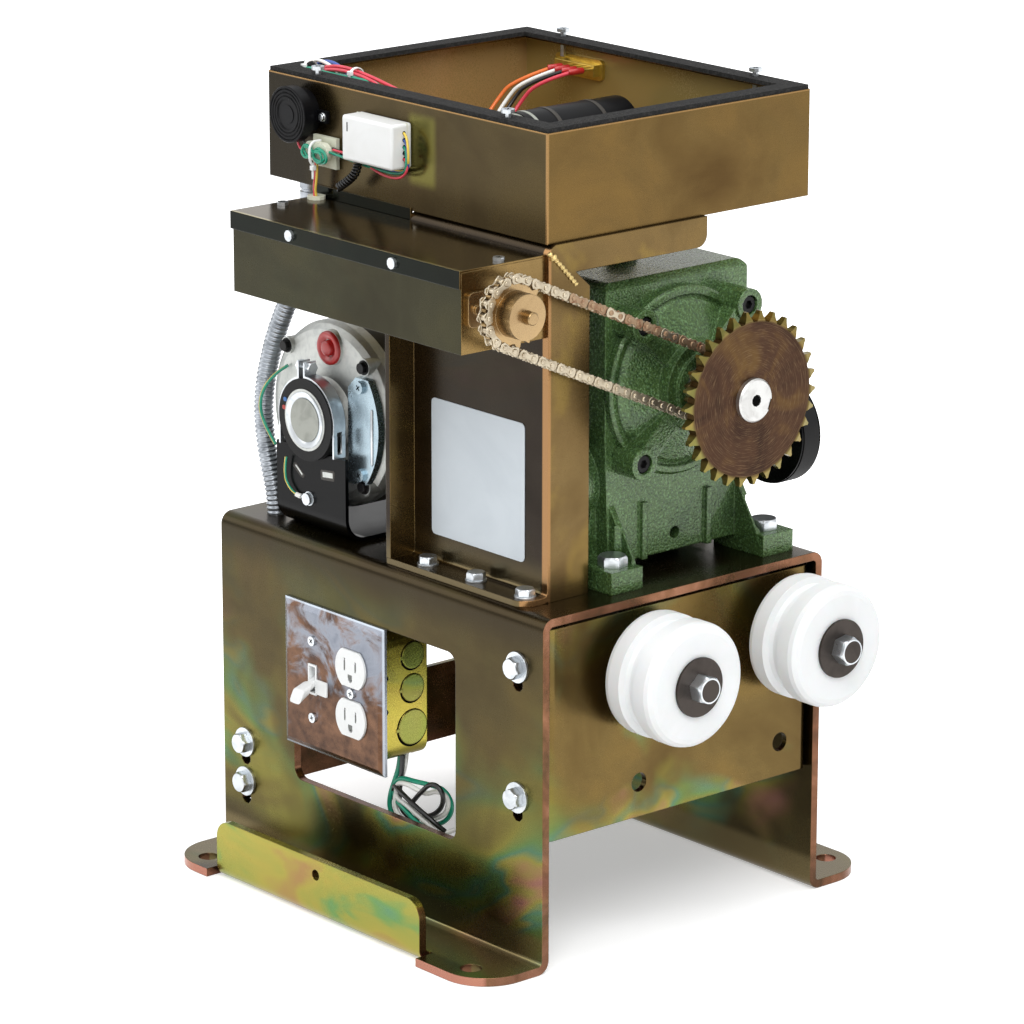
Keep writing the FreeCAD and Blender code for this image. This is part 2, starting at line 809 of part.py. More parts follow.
def gearbox_housing():
    """Cast case: a tall wheel case, a cross tube for the worm, four feet with webs, and a filler boss."""
    x = (gear_x - case_half_x, gear_x + case_half_x)
    y = (drive_y - case_half_y, drive_y + case_half_y)
    floor, top = deck + case_floor, deck + case_top
    shape = [
        (y[0] + 4.0, floor, 5.0),
        (y[1] - 4.0, floor, 5.0),
        (y[1], drive_z - 30.0),
        (y[1], top, case_round),
        (y[0], top, case_round),
        (y[0], drive_z - 30.0),
    ]
    roof = [
        (x[0], floor),
        (x[1], floor),
        (x[1], top - case_edge),
        (x[1] - case_edge, top),
        (x[0] + case_edge, top),
        (x[0], top - case_edge),
    ]
    body = slab("X", shape, *x).common(slab("Y", roof, *y))
    worm_place = (gear_x, worm_z)
    ends = (drive_y - worm_case_half, drive_y + worm_case_half)
    body = body.fuse(rod("Y", worm_place, 2 * worm_tube, *ends))
    for a, b in quadrants:
        hole_x = gear_x + a * foot_spread_x / 2
        hole_y = drive_y + b * foot_spread_y / 2
        pad_x = sorted((gear_x + a * 20.0, hole_x + a * foot_edge))
        pad_y = (hole_y - foot_pad / 2, hole_y + foot_pad / 2)
        body = body.fuse(block(pad_x, pad_y, (deck, deck + foot_high)))
        web = slab(
            "Y",
            [
                (gear_x + a * 30.0, deck + 8.0),
                (hole_x + a * 10.0, deck + 8.0),
                (hole_x + a * 8.0, deck + foot_high + 2.0),
                (gear_x + a * (case_half_x - 2.0), deck + foot_high + 42.0),
                (gear_x + a * 30.0, worm_z),
            ],
            *sorted((hole_y - b * 10.0, hole_y - b * 15.0)),
        )
        cheek = slab(
            "X",
            [
                (drive_y + b * (case_half_y - 12.0), deck + 12.0),
                (hole_y + b * 4.0, deck + 12.0),
                (drive_y + b * (case_half_y - 4.0), worm_z + 14.0),
                (drive_y + b * (case_half_y - 12.0), worm_z + 14.0),
            ],
            *sorted((gear_x + a * 22.0, gear_x + a * 30.0)),
        )
        body = body.fuse(web).fuse(cheek)
    body = body.fuse(rod("Z", filler_place, 26.0, top - 5.0, top + filler_high))
    for rib_middle in (drive_y - case_rib_spread, drive_y + case_rib_spread):
        rib_y = (rib_middle - case_rib / 2, rib_middle + case_rib / 2)
        body = body.fuse(block((x[0] - 3.0, x[1] + 3.0), rib_y, (floor - 1.0, floor + case_rib_high)))
    body = body.cut(rod("X", (drive_y, drive_z), 2 * wheel_room, x[0] - 1, x[1] + 1))
    body = body.cut(rod("Y", worm_place, 2 * worm_room, ends[0] - 1, ends[1] + 1))
    body = body.cut(prism("Z", filler_place, 12.0, drive_z, top + filler_high + 1))
    body = body.cut(prism("X", (drive_y, deck + 24.0), 9.0, x[1] - 12.0, x[1] + 1.0, 10))
    for place in gear_foot_places():
        body = body.cut(prism("Z", place, foot_bolt + 1, deck - 1, deck + 60.0, 8))
        body = body.cut(prism("Z", place, 27.0, deck + foot_high, deck + foot_high + 26.0, 8))
    for place in cover_screw_places():
        body = body.cut(prism("X", place, 7.0, x[0] - 1, x[0] + 18.0, 6))
        body = body.cut(prism("X", place, 7.0, x[1] - 18.0, x[1] + 1, 6))
    return [body.removeSplitter()]


def cover_screw_places():
    return [(drive_y + a * cover_screw_reach, drive_z + b * cover_screw_reach) for a, b in quadrants]


def gearbox_cover(side):
    """Side cover: a crowned disc with four arms out to its screw lugs, and a pocket for the bearing."""
    place = (drive_y, drive_z)
    face = gear_x + side * case_half_x
    rim, crown, lug = [face + side * out for out in (cover_rim, cover_crown, cover_lug)]
    outer, boss = cover_size / 2, boss_size / 2
    profile = [(face, 0), (face, outer), (rim - side * 2.0, outer), (rim, outer - 2.0), (rim, outer - 6.0)]
    profile += [(rim - side * 2.5, outer - 8.0), (rim + side * 1.0, outer - 12.0), (crown, boss), (crown, 0)]
    body = turned("X", place, profile)
    boss_end = face + side * boss_out
    body = body.fuse(rod("X", place, boss_size, *sorted((face, boss_end - side * 3.0))))
    body = body.fuse(rod("X", place, boss_size - 16.0, *sorted((face, boss_end))))
    reach = cover_screw_reach * sqrt(2)
    for angle in (45, 135, 225, 315):
        arm = block(sorted((face, face + side * cover_arm)), (boss - 4.0, reach), (-8.0, 8.0))
        arm.rotate(V(0, 0, 0), V(1, 0, 0), angle)
        arm.translate(V(0, *place))
        body = body.fuse(arm)
    for screw_place in cover_screw_places():
        body = body.fuse(prism("X", screw_place, cover_lug_size, face, lug, 16))
    inner = face - side * (output_bearing_width + 1.0)
    body = body.fuse(rod("X", place, output_bearing + 16.0, *sorted((face, inner))))
    body = body.cut(rod("X", place, output_bearing, *sorted((face - side, inner - side))))
    if side > 0:
        body = body.cut(rod("X", place, output_seat + 1.2, face - 2.0, boss_end + 1.0))
    for screw_place in cover_screw_places():
        body = body.cut(prism("X", screw_place, 7.0, face - side, lug + side, 6))
        body = body.cut(prism("X", screw_place, 14.4, lug - side * cover_screw_sink, lug + side, 12))
    return body.removeSplitter()


def worm_cap(side):
    """Round cap over one end of the worm's tube; the input end has a seal boss."""
    place = (gear_x, worm_z)
    seat = drive_y + side * worm_case_half
    face = seat + side * 9.0
    body = rod("Y", place, 2 * worm_tube - 2.0, *sorted((seat, face)))
    body = body.fuse(rod("Y", place, 2 * worm_room - 0.3, *sorted((seat, seat - side * 5.0))))
    body = body.fuse(rod("Y", place, 38.0, *sorted((seat, face + side * 4.0))))
    if side > 0:
        body = body.cut(rod("Y", place, worm_seat + 1.0, seat - 6.0, seat + 14.0))
    return body.removeSplitter()


def gearbox_covers():
    top = deck + case_top + filler_high
    plug = prism("Z", filler_place, 11.8, top - 12.0, top).fuse(hexagon("Z", filler_place, 17.0, top, top + 6.0))
    return [gearbox_cover(1), gearbox_cover(-1), worm_cap(1), worm_cap(-1), plug]


def gearbox_screws():
    """Socket head screws of the side covers."""
    made = []
    for side in (-1, 1):
        seat = gear_x + side * (case_half_x + cover_lug - cover_screw_sink)
        for place in cover_screw_places():
            body = prism("X", place, 6.6, seat, seat - side * 30.0, 6)
            body = body.fuse(prism("X", place, 12.0, seat, seat + side * 6.0))
            made.append(body.cut(hexagon("X", place, 6.0, *sorted((seat + side * 3.0, seat + side * 7.0)))))
    return made


def output_shaft():
    """Stepped shaft with its key at the chain end."""
    place = (drive_y, drive_z)
    case = gear_x + case_half_x
    seat, nose = output_seat / 2, output_shaft_size / 2
    far = gear_x - case_half_x + 1.0
    step = case + boss_out + 0.6
    profile = [(far, 0), (far, seat), (step, seat), (step, nose), (shaft_end - 1.2, nose)]
    profile += [(shaft_end, nose - 1.2), (shaft_end, 0)]
    body = turned("X", place, profile)
    body = body.cut(prism("X", place, 8.5, shaft_end - 16.0, shaft_end + 1, 10))
    key_low = chain_plane - chain_tooth_width / 2
    slot = key_block(key_low, shaft_end + 1, nose - key_sunk, nose + 1, key_width)
    key = key_block(key_low, gate_front - 0.5, nose - key_sunk, nose + key_proud, key_width - 0.06)
    return [body.cut(slot), key]


def key_block(low, high, inner, outer, width):
    body = block((low, high), (inner, outer), (-width / 2, width / 2))
    body.rotate(V(0, 0, 0), V(1, 0, 0), key_angle)
    body.translate(V(0, drive_y, drive_z))
    return body


def key_way(start, end):
    """The slot that clears the key in a part on the output shaft."""
    return key_block(start - 1, end + 1, 0.0, output_shaft_size / 2 + key_proud + 0.15, key_width)


def ball_bearings():
    """Bearings of the output shaft, the worm and the motor, each as one sealed ring."""
    made = []
    for side in (-1, 1):
        face = gear_x + side * case_half_x
        x = sorted((face - side, face - side * (1 + output_bearing_width)))
        made.append(ring("X", (drive_y, drive_z), output_bearing, output_seat + 2 * running, *x))
        face = drive_y + side * (worm_case_half - 5.0)
        y = sorted((face, face - side * worm_bearing_width))
        made.append(ring("Y", (gear_x, worm_z), worm_bearing, worm_seat + 2 * running, *y))
    for y in motor_bearing_places():
        made.append(ring("Y", (motor_x, motor_z), motor_bearing, motor_shaft + 2 * running, *y))
    return made


def motor_bearing_places():
    front = shell_front - bell_deep + 7.0
    back = shell_back + bell_deep - 7.0
    return [(front, front + motor_bearing_width), (back - motor_bearing_width, back)]


def worm_lead():
    return pi * gear_module


def worm_wheel():
    """Helical worm wheel on a long hub; a gap's middle faces the worm at rest."""
    pitch_radius = gear_module * worm_teeth / 2
    worm_radius = gear_centres - pitch_radius
    helix = worm_lead() / (2 * pi * worm_radius)
    tip, root = pitch_radius + gear_module * 0.9, pitch_radius - gear_module * 1.2
    tooth = worm_lead() / 2 - 2 * tooth_play
    slope = tan(radians(20))
    half = wheel_width / 2

    def section(x):
        corners = []
        for i in range(worm_teeth):
            middle = -pi / 2 + (i + 0.5) * 2 * pi / worm_teeth + wheel_hand * x * helix / pitch_radius
            for radius, sign in ((root, -1), (tip, -1), (tip, 1), (root, 1)):
                wide = tooth / 2 + (pitch_radius - radius) * slope
                angle = middle + sign * wide / pitch_radius
                corners.append(V(gear_x + x, drive_y + radius * cos(angle), drive_z + radius * sin(angle)))
        return Part.makePolygon(corners + [corners[0]])

    body = Part.makeLoft([section(-half), section(half)], True, True)
    hub = case_half_x - output_bearing_width - 4.0
    place = (drive_y, drive_z)
    body = body.fuse(rod("X", place, output_seat + 20.0, gear_x - hub, gear_x + hub))
    return [body.cut(rod("X", place, output_seat, gear_x - hub - 1, gear_x + hub + 1))]


def worm_shaft():
    """Worm with one right-hand thread, its journals and the input end."""
    pitch_radius = gear_centres - gear_module * worm_teeth / 2
    root, tip = pitch_radius - gear_module * 1.2, pitch_radius + gear_module * 0.9
    lead = worm_lead()
    slope = tan(radians(20))
    thread = lead / 2 - 2 * tooth_play
    seat = worm_seat / 2
    inner = worm_case_half - 5.0 - worm_bearing_width
    profile = [
        (drive_y - worm_case_half + 6.0, 0),
        (drive_y - worm_case_half + 6.0, seat),
        (drive_y - inner, seat),
        (drive_y - inner, root),
        (drive_y + inner, root),
        (drive_y + inner, seat),
        (drive_y + worm_case_half + 14.0, seat),
        (drive_y + worm_case_half + 14.0, input_size / 2),
        (drive_y + input_out, input_size / 2),
        (drive_y + input_out, 0),
    ]
    body = turned("Y", (gear_x, worm_z), profile)
    steps = 12
    inside = root - 1.0
    wide_root = thread / 2 + (pitch_radius - inside) * slope
    wide_tip = thread / 2 - (tip - pitch_radius) * slope

    def section(step):
        angle = 2 * pi * step / steps
        out = V(sin(angle), 0, cos(angle))
        centre = V(gear_x, drive_y + lead * step / steps, worm_z)
        corners = [
            centre + out * radius + V(0, shift, 0)
            for radius, shift in ((inside, -wide_root), (tip, -wide_tip), (tip, wide_tip), (inside, wide_root))
        ]
        return Part.makePolygon(corners + corners[:1])

    last = int(worm_turns * steps / 2)
    coil = Part.makeLoft([section(step) for step in range(-last, last + 1)], True, True)
    return [body.fuse(coil)]


def gate_sprocket():
    """Hubbed sprocket for the gate chain."""
    place = (drive_y, drive_z)
    back = gate_front - gate_width
    body = sprocket("X", place, gate_teeth, gate_pitch, gate_roller, back, gate_front, 4.0, gate_bevel)
    body = body.fuse(rod("X", place, gate_hub, back - gate_hub_long, back))
    body = body.cut(rod("X", place, output_shaft_size, back - gate_hub_long - 1, gate_front + 1))
    return [body.cut(key_way(back - gate_hub_long, gate_front)).removeSplitter()]


def strand_angle():
    """The direction, in degrees about X from +Y, from the output shaft to the limit shaft."""
    return degrees(atan2(limit_rise, limit_shaft_y - drive_y))


def gap_angle():
    """A gap of both small sprockets stands square to the chain's straight runs."""
    return strand_angle() + 90


def small_sprocket(bore, hub_size, hub_end):
    """A small sprocket with its hub on the outer side, at the origin of its own axis."""
    low = chain_plane - chain_tooth_width / 2
    body = sprocket("X", (0, 0), chain_teeth, chain_pitch, chain_roller, low, low + chain_tooth_width, gap_angle())
    body = body.fuse(rod("X", (0, 0), hub_size, low + chain_tooth_width, hub_end))
    return body.cut(rod("X", (0, 0), bore, low - 1, hub_end + 1))


def limit_sprocket():
    face = chain_plane + chain_tooth_width / 2
    body = small_sprocket(limit_bore, chain_hub, face + chain_hub_long)
    body.translate(V(0, limit_shaft_y, limit_shaft_z))
    return [body]


def chain_drive_sprocket():
    body = small_sprocket(output_shaft_size, chain_hub + 2.8, gate_front - gate_width - gate_hub_long)
    body.translate(V(0, drive_y, drive_z))
    low = chain_plane - chain_tooth_width / 2
    return [body.cut(key_way(low, gate_front)).removeSplitter()]


def chain_joints():
    """The rollers' places round the loop, as (y, z)."""
    angle = radians(strand_angle())
    way = V(0, cos(angle), sin(angle))
    up = V(0, -sin(angle), cos(angle))
    drive = V(0, drive_y, drive_z)
    limit = V(0, limit_shaft_y, limit_shaft_z)
    run = int((chain_links - chain_teeth) / 2)
    step = 2 * pi / chain_teeth
    places = [drive + up * chain_radius + way * (chain_pitch * i) for i in range(run)]
    for i in range(int(chain_teeth / 2)):
        places.append(limit + up * (chain_radius * cos(step * i)) + way * (chain_radius * sin(step * i)))
    places += [limit - up * chain_radius - way * (chain_pitch * i) for i in range(run)]
    for i in range(int(chain_teeth / 2)):
        places.append(drive - up * (chain_radius * cos(step * i)) - way * (chain_radius * sin(step * i)))
    return places


def limit_chain():
    """Roller chain: a roller at each joint, and pairs of inner and outer plates by turns."""
    joints = chain_joints()
    half = chain_height / 2
    made = []
    for i, (here, after) in enumerate(zip(joints, joints[1:] + joints[:1])):
        inside = chain_inner / 2 + (i % 2) * chain_plate
        way = (after - here).normalize()
        side = V(0, -way.z, way.y)
        rim = [
            here - way * half,
            here - way * half * 0.3 + side * half,
            after + way * half * 0.3 + side * half,
            after + way * half,
            after + way * half * 0.3 - side * half,
            here - way * half * 0.3 - side * half,
        ]
        for low in (chain_plane - inside - chain_plate, chain_plane + inside):
            face = Part.Face(Part.makePolygon([p + V(low, 0, 0) for p in rim + rim[:1]]))
            made.append(face.extrude(V(chain_plate, 0, 0)))
        reach = chain_inner / 2
        made.append(hexagon("X", (here.y, here.z), chain_roller * 0.8, chain_plane - reach, chain_plane + reach))
    return made


def pulley(place, radius, bore):
    """One-groove pulley; the groove clears the belt's sides by a set play."""
    half_top = belt_top / 2 + belt_play / cos(radians(belt_angle))
    fall = tan(radians(belt_angle))
    rim = radius - 0.6
    low, high = pulley_centre - belt_top / 2 - pulley_rim, pulley_centre + belt_top / 2 + pulley_rim
    root = radius - belt_deep - 2.0
    profile = [
        (low, 0),
        (low, rim),
        (pulley_centre - half_top + 0.6 * fall, rim),
        (pulley_centre - half_top + (radius - root) * fall, root),
        (pulley_centre + half_top - (radius - root) * fall, root),
        (pulley_centre + half_top - 0.6 * fall, rim),
        (high, rim),
        (high, 0),
    ]
    body = turned("Y", place, profile)
    recess = ring("Y", place, 2 * root - 8.0, bore + 18.0, low - 1, low + 5.0)
    return body.cut(recess).cut(rod("Y", place, bore, low - 1, high + 1))


def v_belt():
    """A trapezoid carried round both pulleys."""
    gear, motor = V(gear_x, 0, worm_z), V(motor_x, 0, motor_z)
    big, small = gear_pulley_radius, motor_pulley_radius
    between = motor - gear
    spread = between.Length
    base = atan2(between.z, between.x)
    lean = acos((big - small) / spread)

    def edge_point(centre, radius, angle):
        return V(centre.x + radius * cos(angle), pulley_centre, centre.z + radius * sin(angle))

    g1, g2 = edge_point(gear, big, base + lean), edge_point(gear, big, base - lean)
    m1, m2 = edge_point(motor, small, base + lean), edge_point(motor, small, base - lean)
    path = Part.Wire(
        [
            line(g1, m1),
            arc(m1, edge_point(motor, small, base), m2),
            line(m2, g2),
            arc(g2, edge_point(gear, big, base + pi), g1),
        ]
    )
    inward = (gear - V(g1.x, 0, g1.z)).normalize()
    half = belt_top / 2
    low = half - belt_deep * tan(radians(belt_angle))
    corners = [
        g1 + V(0, -half, 0),
        g1 + V(0, half, 0),
        g1 + inward * belt_deep + V(0, low, 0),
        g1 + inward * belt_deep + V(0, -low, 0),
    ]
    section = Part.makePolygon(corners + [corners[0]])
    return [path.makePipeShell([section], True, True)]


def motor_shell():
    """Rolled shell and, inside it, the stator core."""
    place = (motor_x, motor_z)
    inner = shell_size - 2 * shell_wall
    shell = ring("Y", place, shell_size, inner, shell_front, shell_back)
    middle = (shell_front + shell_back) / 2
    core = ring(
        "Y", place, inner, rotor_size + 1.2, middle - rotor_long / 2 - 12.0, middle + rotor_long / 2 + 12.0
    )
    return [shell, core]


def bell(side):
    """Cast end bell: rounded rim, flat face, hub for the mount ring and four bolt ears."""
    place = (motor_x, motor_z)
    seat = shell_front if side < 0 else shell_back
    tip = ring_front if side < 0 else ring_back
    rim, hub, pocket = shell_size / 2, ring_bore / 2, motor_bearing / 2 + 5.0
    face = seat + side * bell_deep
    profile = [
        (seat, rim),
        (seat + side * 8.0, rim),
        (seat + side * 13.0, rim - 2.0),
        (seat + side * 16.5, rim - 6.0),
        (face, bell_flat()),
        (face, hub + 6.0),
        (face + side * 6.0, hub),
        (tip, hub),
        (tip, hub - 3.0),
        (tip - side * 4.0, hub - 8.0),
        (tip - side * 4.0, 0),
        (face - side * 19.0, 0),
        (face - side * 19.0, pocket),
        (face - side * 5.0, pocket + 4.0),
        (face - side * 5.0, rim - 16.0),
        (seat, rim - 5.0),
    ]
    body = turned("Y", place, profile)
    body = body.cut(rod("Y", place, motor_bearing, *sorted((face - side * 7.0, face - side * 20.0))))
    end = face + side * bell_ear_out
    for ear in bell_ear_places():
        body = body.fuse(rod("Y", ear, bell_ear, *sorted((seat + side * 3.0, end))))
        body = body.cut(prism("Y", ear, bell_bolt_hole, end - side * 5.0, end + side, 8))
    if side > 0:
        body = body.cut(rod("Y", place, motor_shaft + 3.0, face - 9.0, tip + 1))
    else:
        body = body.fuse(rod("Y", reset_place(), reset_pad, face - reset_pad_out, face + 8.0))
        body = body.cut(rod("Y", reset_place(), button_size + 0.4, face - 2.0, face + 13.0))
        for screw_place in terminal_screw_places():
            body = body.cut(prism("Y", screw_place, 4.4, face - 1.0, face + 14.0, 6))
    return body.removeSplitter()


def bell_ear_places():
    reach = bell_bolt_ring / sqrt(2)
    return [(motor_x + a * reach, motor_z + b * reach) for a, b in quadrants]


def reset_place():
    return (motor_x + 5.0, motor_z + 53.0)


def terminal_edge():
    """X of the terminal cover's straight edge."""
    return motor_x + ring_size / 2 + 0.6


def terminal_screw_places():
    return [(terminal_edge() + 15.0, motor_z + z) for z in (-35.5, 31.5)]


def motor_end_bells():
    return [bell(-1), bell(1)]


def motor_rotor():
    """Shaft with the rotor core; it ends in the front bell and comes out at the belt end."""
    place = (motor_x, motor_z)
    middle = (shell_front + shell_back) / 2
    core = rod("Y", place, rotor_size, middle - rotor_long / 2, middle + rotor_long / 2)
    shaft = rod("Y", place, motor_shaft, motor_bearing_places()[0][0] + 1.0, pulley_centre + 10.0)
    return [shaft.fuse(core)]


def motor_mount_rings():
    place = (motor_x, motor_z)
    front = ring("Y", place, ring_size, ring_bore, ring_front + 0.5, ring_front + ring_long)
    back = ring("Y", place, ring_size, ring_bore, ring_back - ring_long, ring_back - 0.5)
    return [front, back]


def arm_middles():
    return [ring_front + ring_long / 2, ring_back - ring_long / 2]


def cradle_top():
    return motor_z - 24.0


def ground_place():
    return (motor_x - 2.0, deck + 27.0)


def motor_cradle():
    """Bent sheet: a base with feet and, at each end, an arm that holds a mount ring from below."""
    mid = cradle_sheet / 2
    front, back = arm_middles()
    path = [(front, cradle_top()), (front, deck + mid), (back, deck + mid), (back, cradle_top())]
    body = strip("X", path, cradle_sheet, cradle_bend, motor_x - cradle_half, motor_x + cradle_half)
    middle = (front + back) / 2
    x = (motor_x - cradle_foot, motor_x + cradle_foot)
    body = body.fuse(panel("Z", x, (middle - 58.0, middle + 58.0), deck, deck + cradle_sheet, 8.0))
    body = body.cut(rod("Y", (motor_x, motor_z), ring_size + 0.1, ring_front - 1, ring_back + 1))
    for place in cradle_bolt_places():
        body = body.cut(prism("Z", place, 8.9, deck - 1, deck + cradle_sheet + 1, 8))
    body = body.cut(prism("Y", ground_place(), 4.6, ring_front - 1, front + 4.0, 6))
    return [body.removeSplitter()]


def motor_clamps():
    """A band over each mount ring, down to its arm, with a clamp bolt; and the ground screw."""
    made = []
    place = (motor_x, motor_z)
    outer = ring_size / 2
    for middle in arm_middles():
        y = (middle - 5.5, middle + 5.5)
        wide = (y[0] - 1, y[1] + 1)
        band = rod("Y", place, ring_size + 3.4, *y)
        band = band.cut(block((motor_x - 60, motor_x + 60), wide, (motor_z - 60, motor_z - 8.0)))
        for x in (motor_x - 10.0, motor_x - 3.0):
            band = band.fuse(block((x, x + 1.7), y, (motor_z + outer - 3.0, motor_z + outer + 12.0)))
        for side in (-1, 1):
            x = sorted((motor_x + side * (outer - 0.2), motor_x + side * (outer + 1.5)))
            band = band.fuse(block(x, y, (cradle_top(), motor_z - 7.0)))
        band = band.cut(rod("Y", place, ring_size + 0.1, *wide))
        for side in (-1, 1):
            x = sorted((motor_x + side * (outer - 2.0), motor_x + side * (outer + 3.0)))
            slot_z = (cradle_top() + 3.0, motor_z - 4.0)
            band = band.cut(block(x, (middle - 2.2, middle + 2.2), slot_z))
        gap = block((motor_x - 8.3, motor_x - 3.0), wide, (motor_z, motor_z + 60))
        band = band.cut(gap)
        clamp = (middle, motor_z + outer + 7.5)
        band = band.cut(prism("X", clamp, 5.0, motor_x - 12.0, motor_x, 6))
        made += band.Solids
        made.append(bolt("X", clamp, motor_x - 1.3, -13.0, 4.6, 8.0, 3.6, turn=0.0, nut_from=8.7, nut_thick=3.6))
    front = arm_middles()[0] - cradle_sheet / 2
    made.append(screw("Y", ground_place(), front - ground_eye, 8.0, 4.2, 9.0, 2.6))
    return made


def bell_face():
    return shell_front - bell_deep


def terminal_cover():
    """Half-moon cover over the motor's wiring, on two screws."""
    face = bell_face()
    front = face - terminal_cover_thick
    low, high = motor_z + terminal_cover_low, motor_z + terminal_cover_high
    edge, corner = terminal_edge(), 9.0
    shape = [
        (edge, low),
        (motor_x + shell_size, low),
        (motor_x + shell_size, high),
        (edge + corner, high),
        (edge, high - corner),
    ]
    body = rod("Y", (motor_x, motor_z), terminal_cover_size, front, face)
    body = body.common(slab("Y", shape, front - 1, face + 1))
    for ear in bell_ear_places():
        body = body.cut(rod("Y", ear, bell_ear + 1.0, front - 1, face + 1))
    screws = []
    for screw_place in terminal_screw_places():
        body = body.cut(prism("Y", screw_place, 4.4, front - 1, face + 1, 6))
        screws.append(screw("Y", screw_place, front, 18.0, 4.0, 9.5, 2.8))
    return [body] + screws


def bell_flat():
    """Radius of the bell's flat face."""
    return shell_size / 2 - bell_shoulder


def reset_button():
    face = bell_face()
    return [rod("Y", reset_place(), button_size, face - button_proud, face + 6.0)]


def junction_box():
    """Square steel box behind the window, with a flange that seats inside the leg."""
    h = outlet_box / 2
    x = (outlet_x - h, outlet_x + h)
    z = (outlet_z - h, outlet_z + h)
    front = -leg_face - outlet_proud + outlet_sheet
    back = front + outlet_box_deep
    t, r = outlet_box_sheet, outlet_box_round
    body = panel("Y", x, z, front, back, r)
    hollow = panel("Y", (x[0] + t, x[1] - t), (z[0] + t, z[1] - t), front - 1, back - t, r - t)
    body = body.cut(hollow)
    flange = panel("Y", (x[0] - 22.0, x[0] + 3.0), (z[0] + 8.0, z[1] - 8.0), -leg_inside, -leg_inside + t)
    body = body.fuse(flange.cut(hollow))
    for column in (-gang_spacing / 2, gang_spacing / 2):
        for end in (-1, 1):
            zz = sorted((outlet_z + end * (h - t / 2), outlet_z + end * (h - 12.0)))
            tab = block((outlet_x + column - 6.0, outlet_x + column + 6.0), (front + 2.2, front + 2.2 + t), zz)
            body = body.fuse(tab)
    body = body.cut(prism("Z", lead_exit, lead_bundle + 5.0, z[0] - 1, z[0] + t + 1, 8))
    return [body.removeSplitter()]


def cover_plate():
    """Shallow steel plate with a bevelled rim, cut for one toggle and one double outlet."""
    hx, hz = outlet_plate_x / 2, outlet_plate_z / 2
    front = -leg_face - outlet_proud

    def loop(station, inset):
        corners = [(outlet_x + a * (hx - inset), outlet_z + b * (hz - inset)) for a, b in quadrants]
        return outline("Y", station, corners)

    def tray(inset, shift):
        rims = [(0.0, inset), (-outlet_proud * 0.45, inset), (-outlet_proud, inset + outlet_bevel)]
        return Part.makeLoft([loop(-leg_face + out + shift, edge) for out, edge in rims], True, True)

    body = tray(0.0, 0.0).cut(tray(outlet_sheet, outlet_sheet))
    toggle_x = outlet_x - gang_spacing / 2
    cut = block((toggle_x - 5.3, toggle_x + 5.3), (front - 1, front + 3), (outlet_z - 12.2, outlet_z + 12.2))
    body = body.cut(cut)
    for z in (-1, 1):
        body = body.cut(outlet_face(z * outlet_faces / 2, 0.3, front - 1, front + 3))
    for place in plate_screw_places():
        body = body.cut(prism("Y", place, 3.9, front - 1, front + 3, 6))
    return [body]


def outlet_face(offset, grow, start, end):
    """The flattened round face of one outlet."""
    x = outlet_x + gang_spacing / 2
    z = outlet_z + offset
    disc = rod("Y", (x, z), 2 * (17.2 + grow), start, end)
    return disc.common(block((x - 30, x + 30), (start - 1, end + 1), (z - 14.2 - grow, z + 14.2 + grow)))


def plate_screw_places():
    toggle_x = outlet_x - gang_spacing / 2
    places = [(toggle_x, outlet_z + side * toggle_screws / 2) for side in (-1, 1)]
    return places + [(outlet_x + gang_spacing / 2, outlet_z)]


def strap(x, front):
    """The metal strap that carries a switch or outlet behind the plate."""
    return block((x - 8.0, x + 8.0), (front + outlet_sheet, front + 2.2), (outlet_z - 48.0, outlet_z + 48.0))


def device_front():
    return -leg_face - outlet_proud


def toggle_switch():
    """Switch body, its strap and the raised frame that the lever comes out of."""
    x = outlet_x - gang_spacing / 2
    front = device_front()
    body = block((x - 15.0, x + 15.0), (front + 2.2, front + 27.0), (outlet_z - 32.0, outlet_z + 32.0))
    body = body.fuse(strap(x, front))
    body = body.fuse(block((x - 4.9, x + 4.9), (front - 0.8, front + 3.0), (outlet_z - 11.8, outlet_z + 11.8)))
    room = block((x - 3.6, x + 3.6), (front - 2.0, front + 14.0), (outlet_z - 10.2, outlet_z + 10.2))
    body = body.cut(room)
    for place in plate_screw_places()[:2]:
        body = body.cut(prism("Y", place, 3.7, front, front + 12.0, 6))
    return [body.removeSplitter()]


def toggle_pivot():
    return (device_front() + 6.0, outlet_z)


def toggle_lever():
    """Tapered lever on a round heel, thrown down at rest."""
    x = outlet_x - gang_spacing / 2
    y, z = toggle_pivot()
    heel = rod("X", (y, z), 7.0, x - 3.3, x + 3.3)
    steps = ((0.0, 0.6), (10.0, 0.3), (20.0, 0.0), (21.5, 0.9))
    arm = Part.makeLoft([lever_section(x, y - out, z, 3.1 - taper) for out, taper in steps], True, True)
    lever = heel.fuse(arm)
    lever.rotate(V(0, y, z), V(1, 0, 0), toggle_rest)
    return [lever]


def lever_section(x, y, z, half):
    return outline("Y", y, [(x + a * half, z + b * half) for a, b in quadrants])


def duplex_outlet():
    """Double outlet: body, strap and two faces that stand through the plate, with their slots."""
    x = outlet_x + gang_spacing / 2
    front = device_front()
    body = block((x - 16.0, x + 16.0), (front + 2.2, front + 29.0), (outlet_z - 34.0, outlet_z + 34.0))
    body = body.fuse(strap(x, front))
    deep = (front - 2.0, front + 10.0)
    for side in (-1, 1):
        z = outlet_z + side * outlet_faces / 2
        body = body.fuse(outlet_face(side * outlet_faces / 2, 0.0, front - 1.6, front + 3.0))
        for dx, high in ((-6.35, 8.5), (6.35, 7.0)):
            slot_z = (z + 3.2 - high / 2, z + 3.2 + high / 2)
            body = body.cut(block((x + dx - 0.9, x + dx + 0.9), deep, slot_z))
        body = body.cut(prism("Y", (x, z - 8.3), 4.8, *deep, 8))
    body = body.cut(prism("Y", (x, outlet_z), 3.7, front, front + 12.0, 6))
    return [body.removeSplitter()]


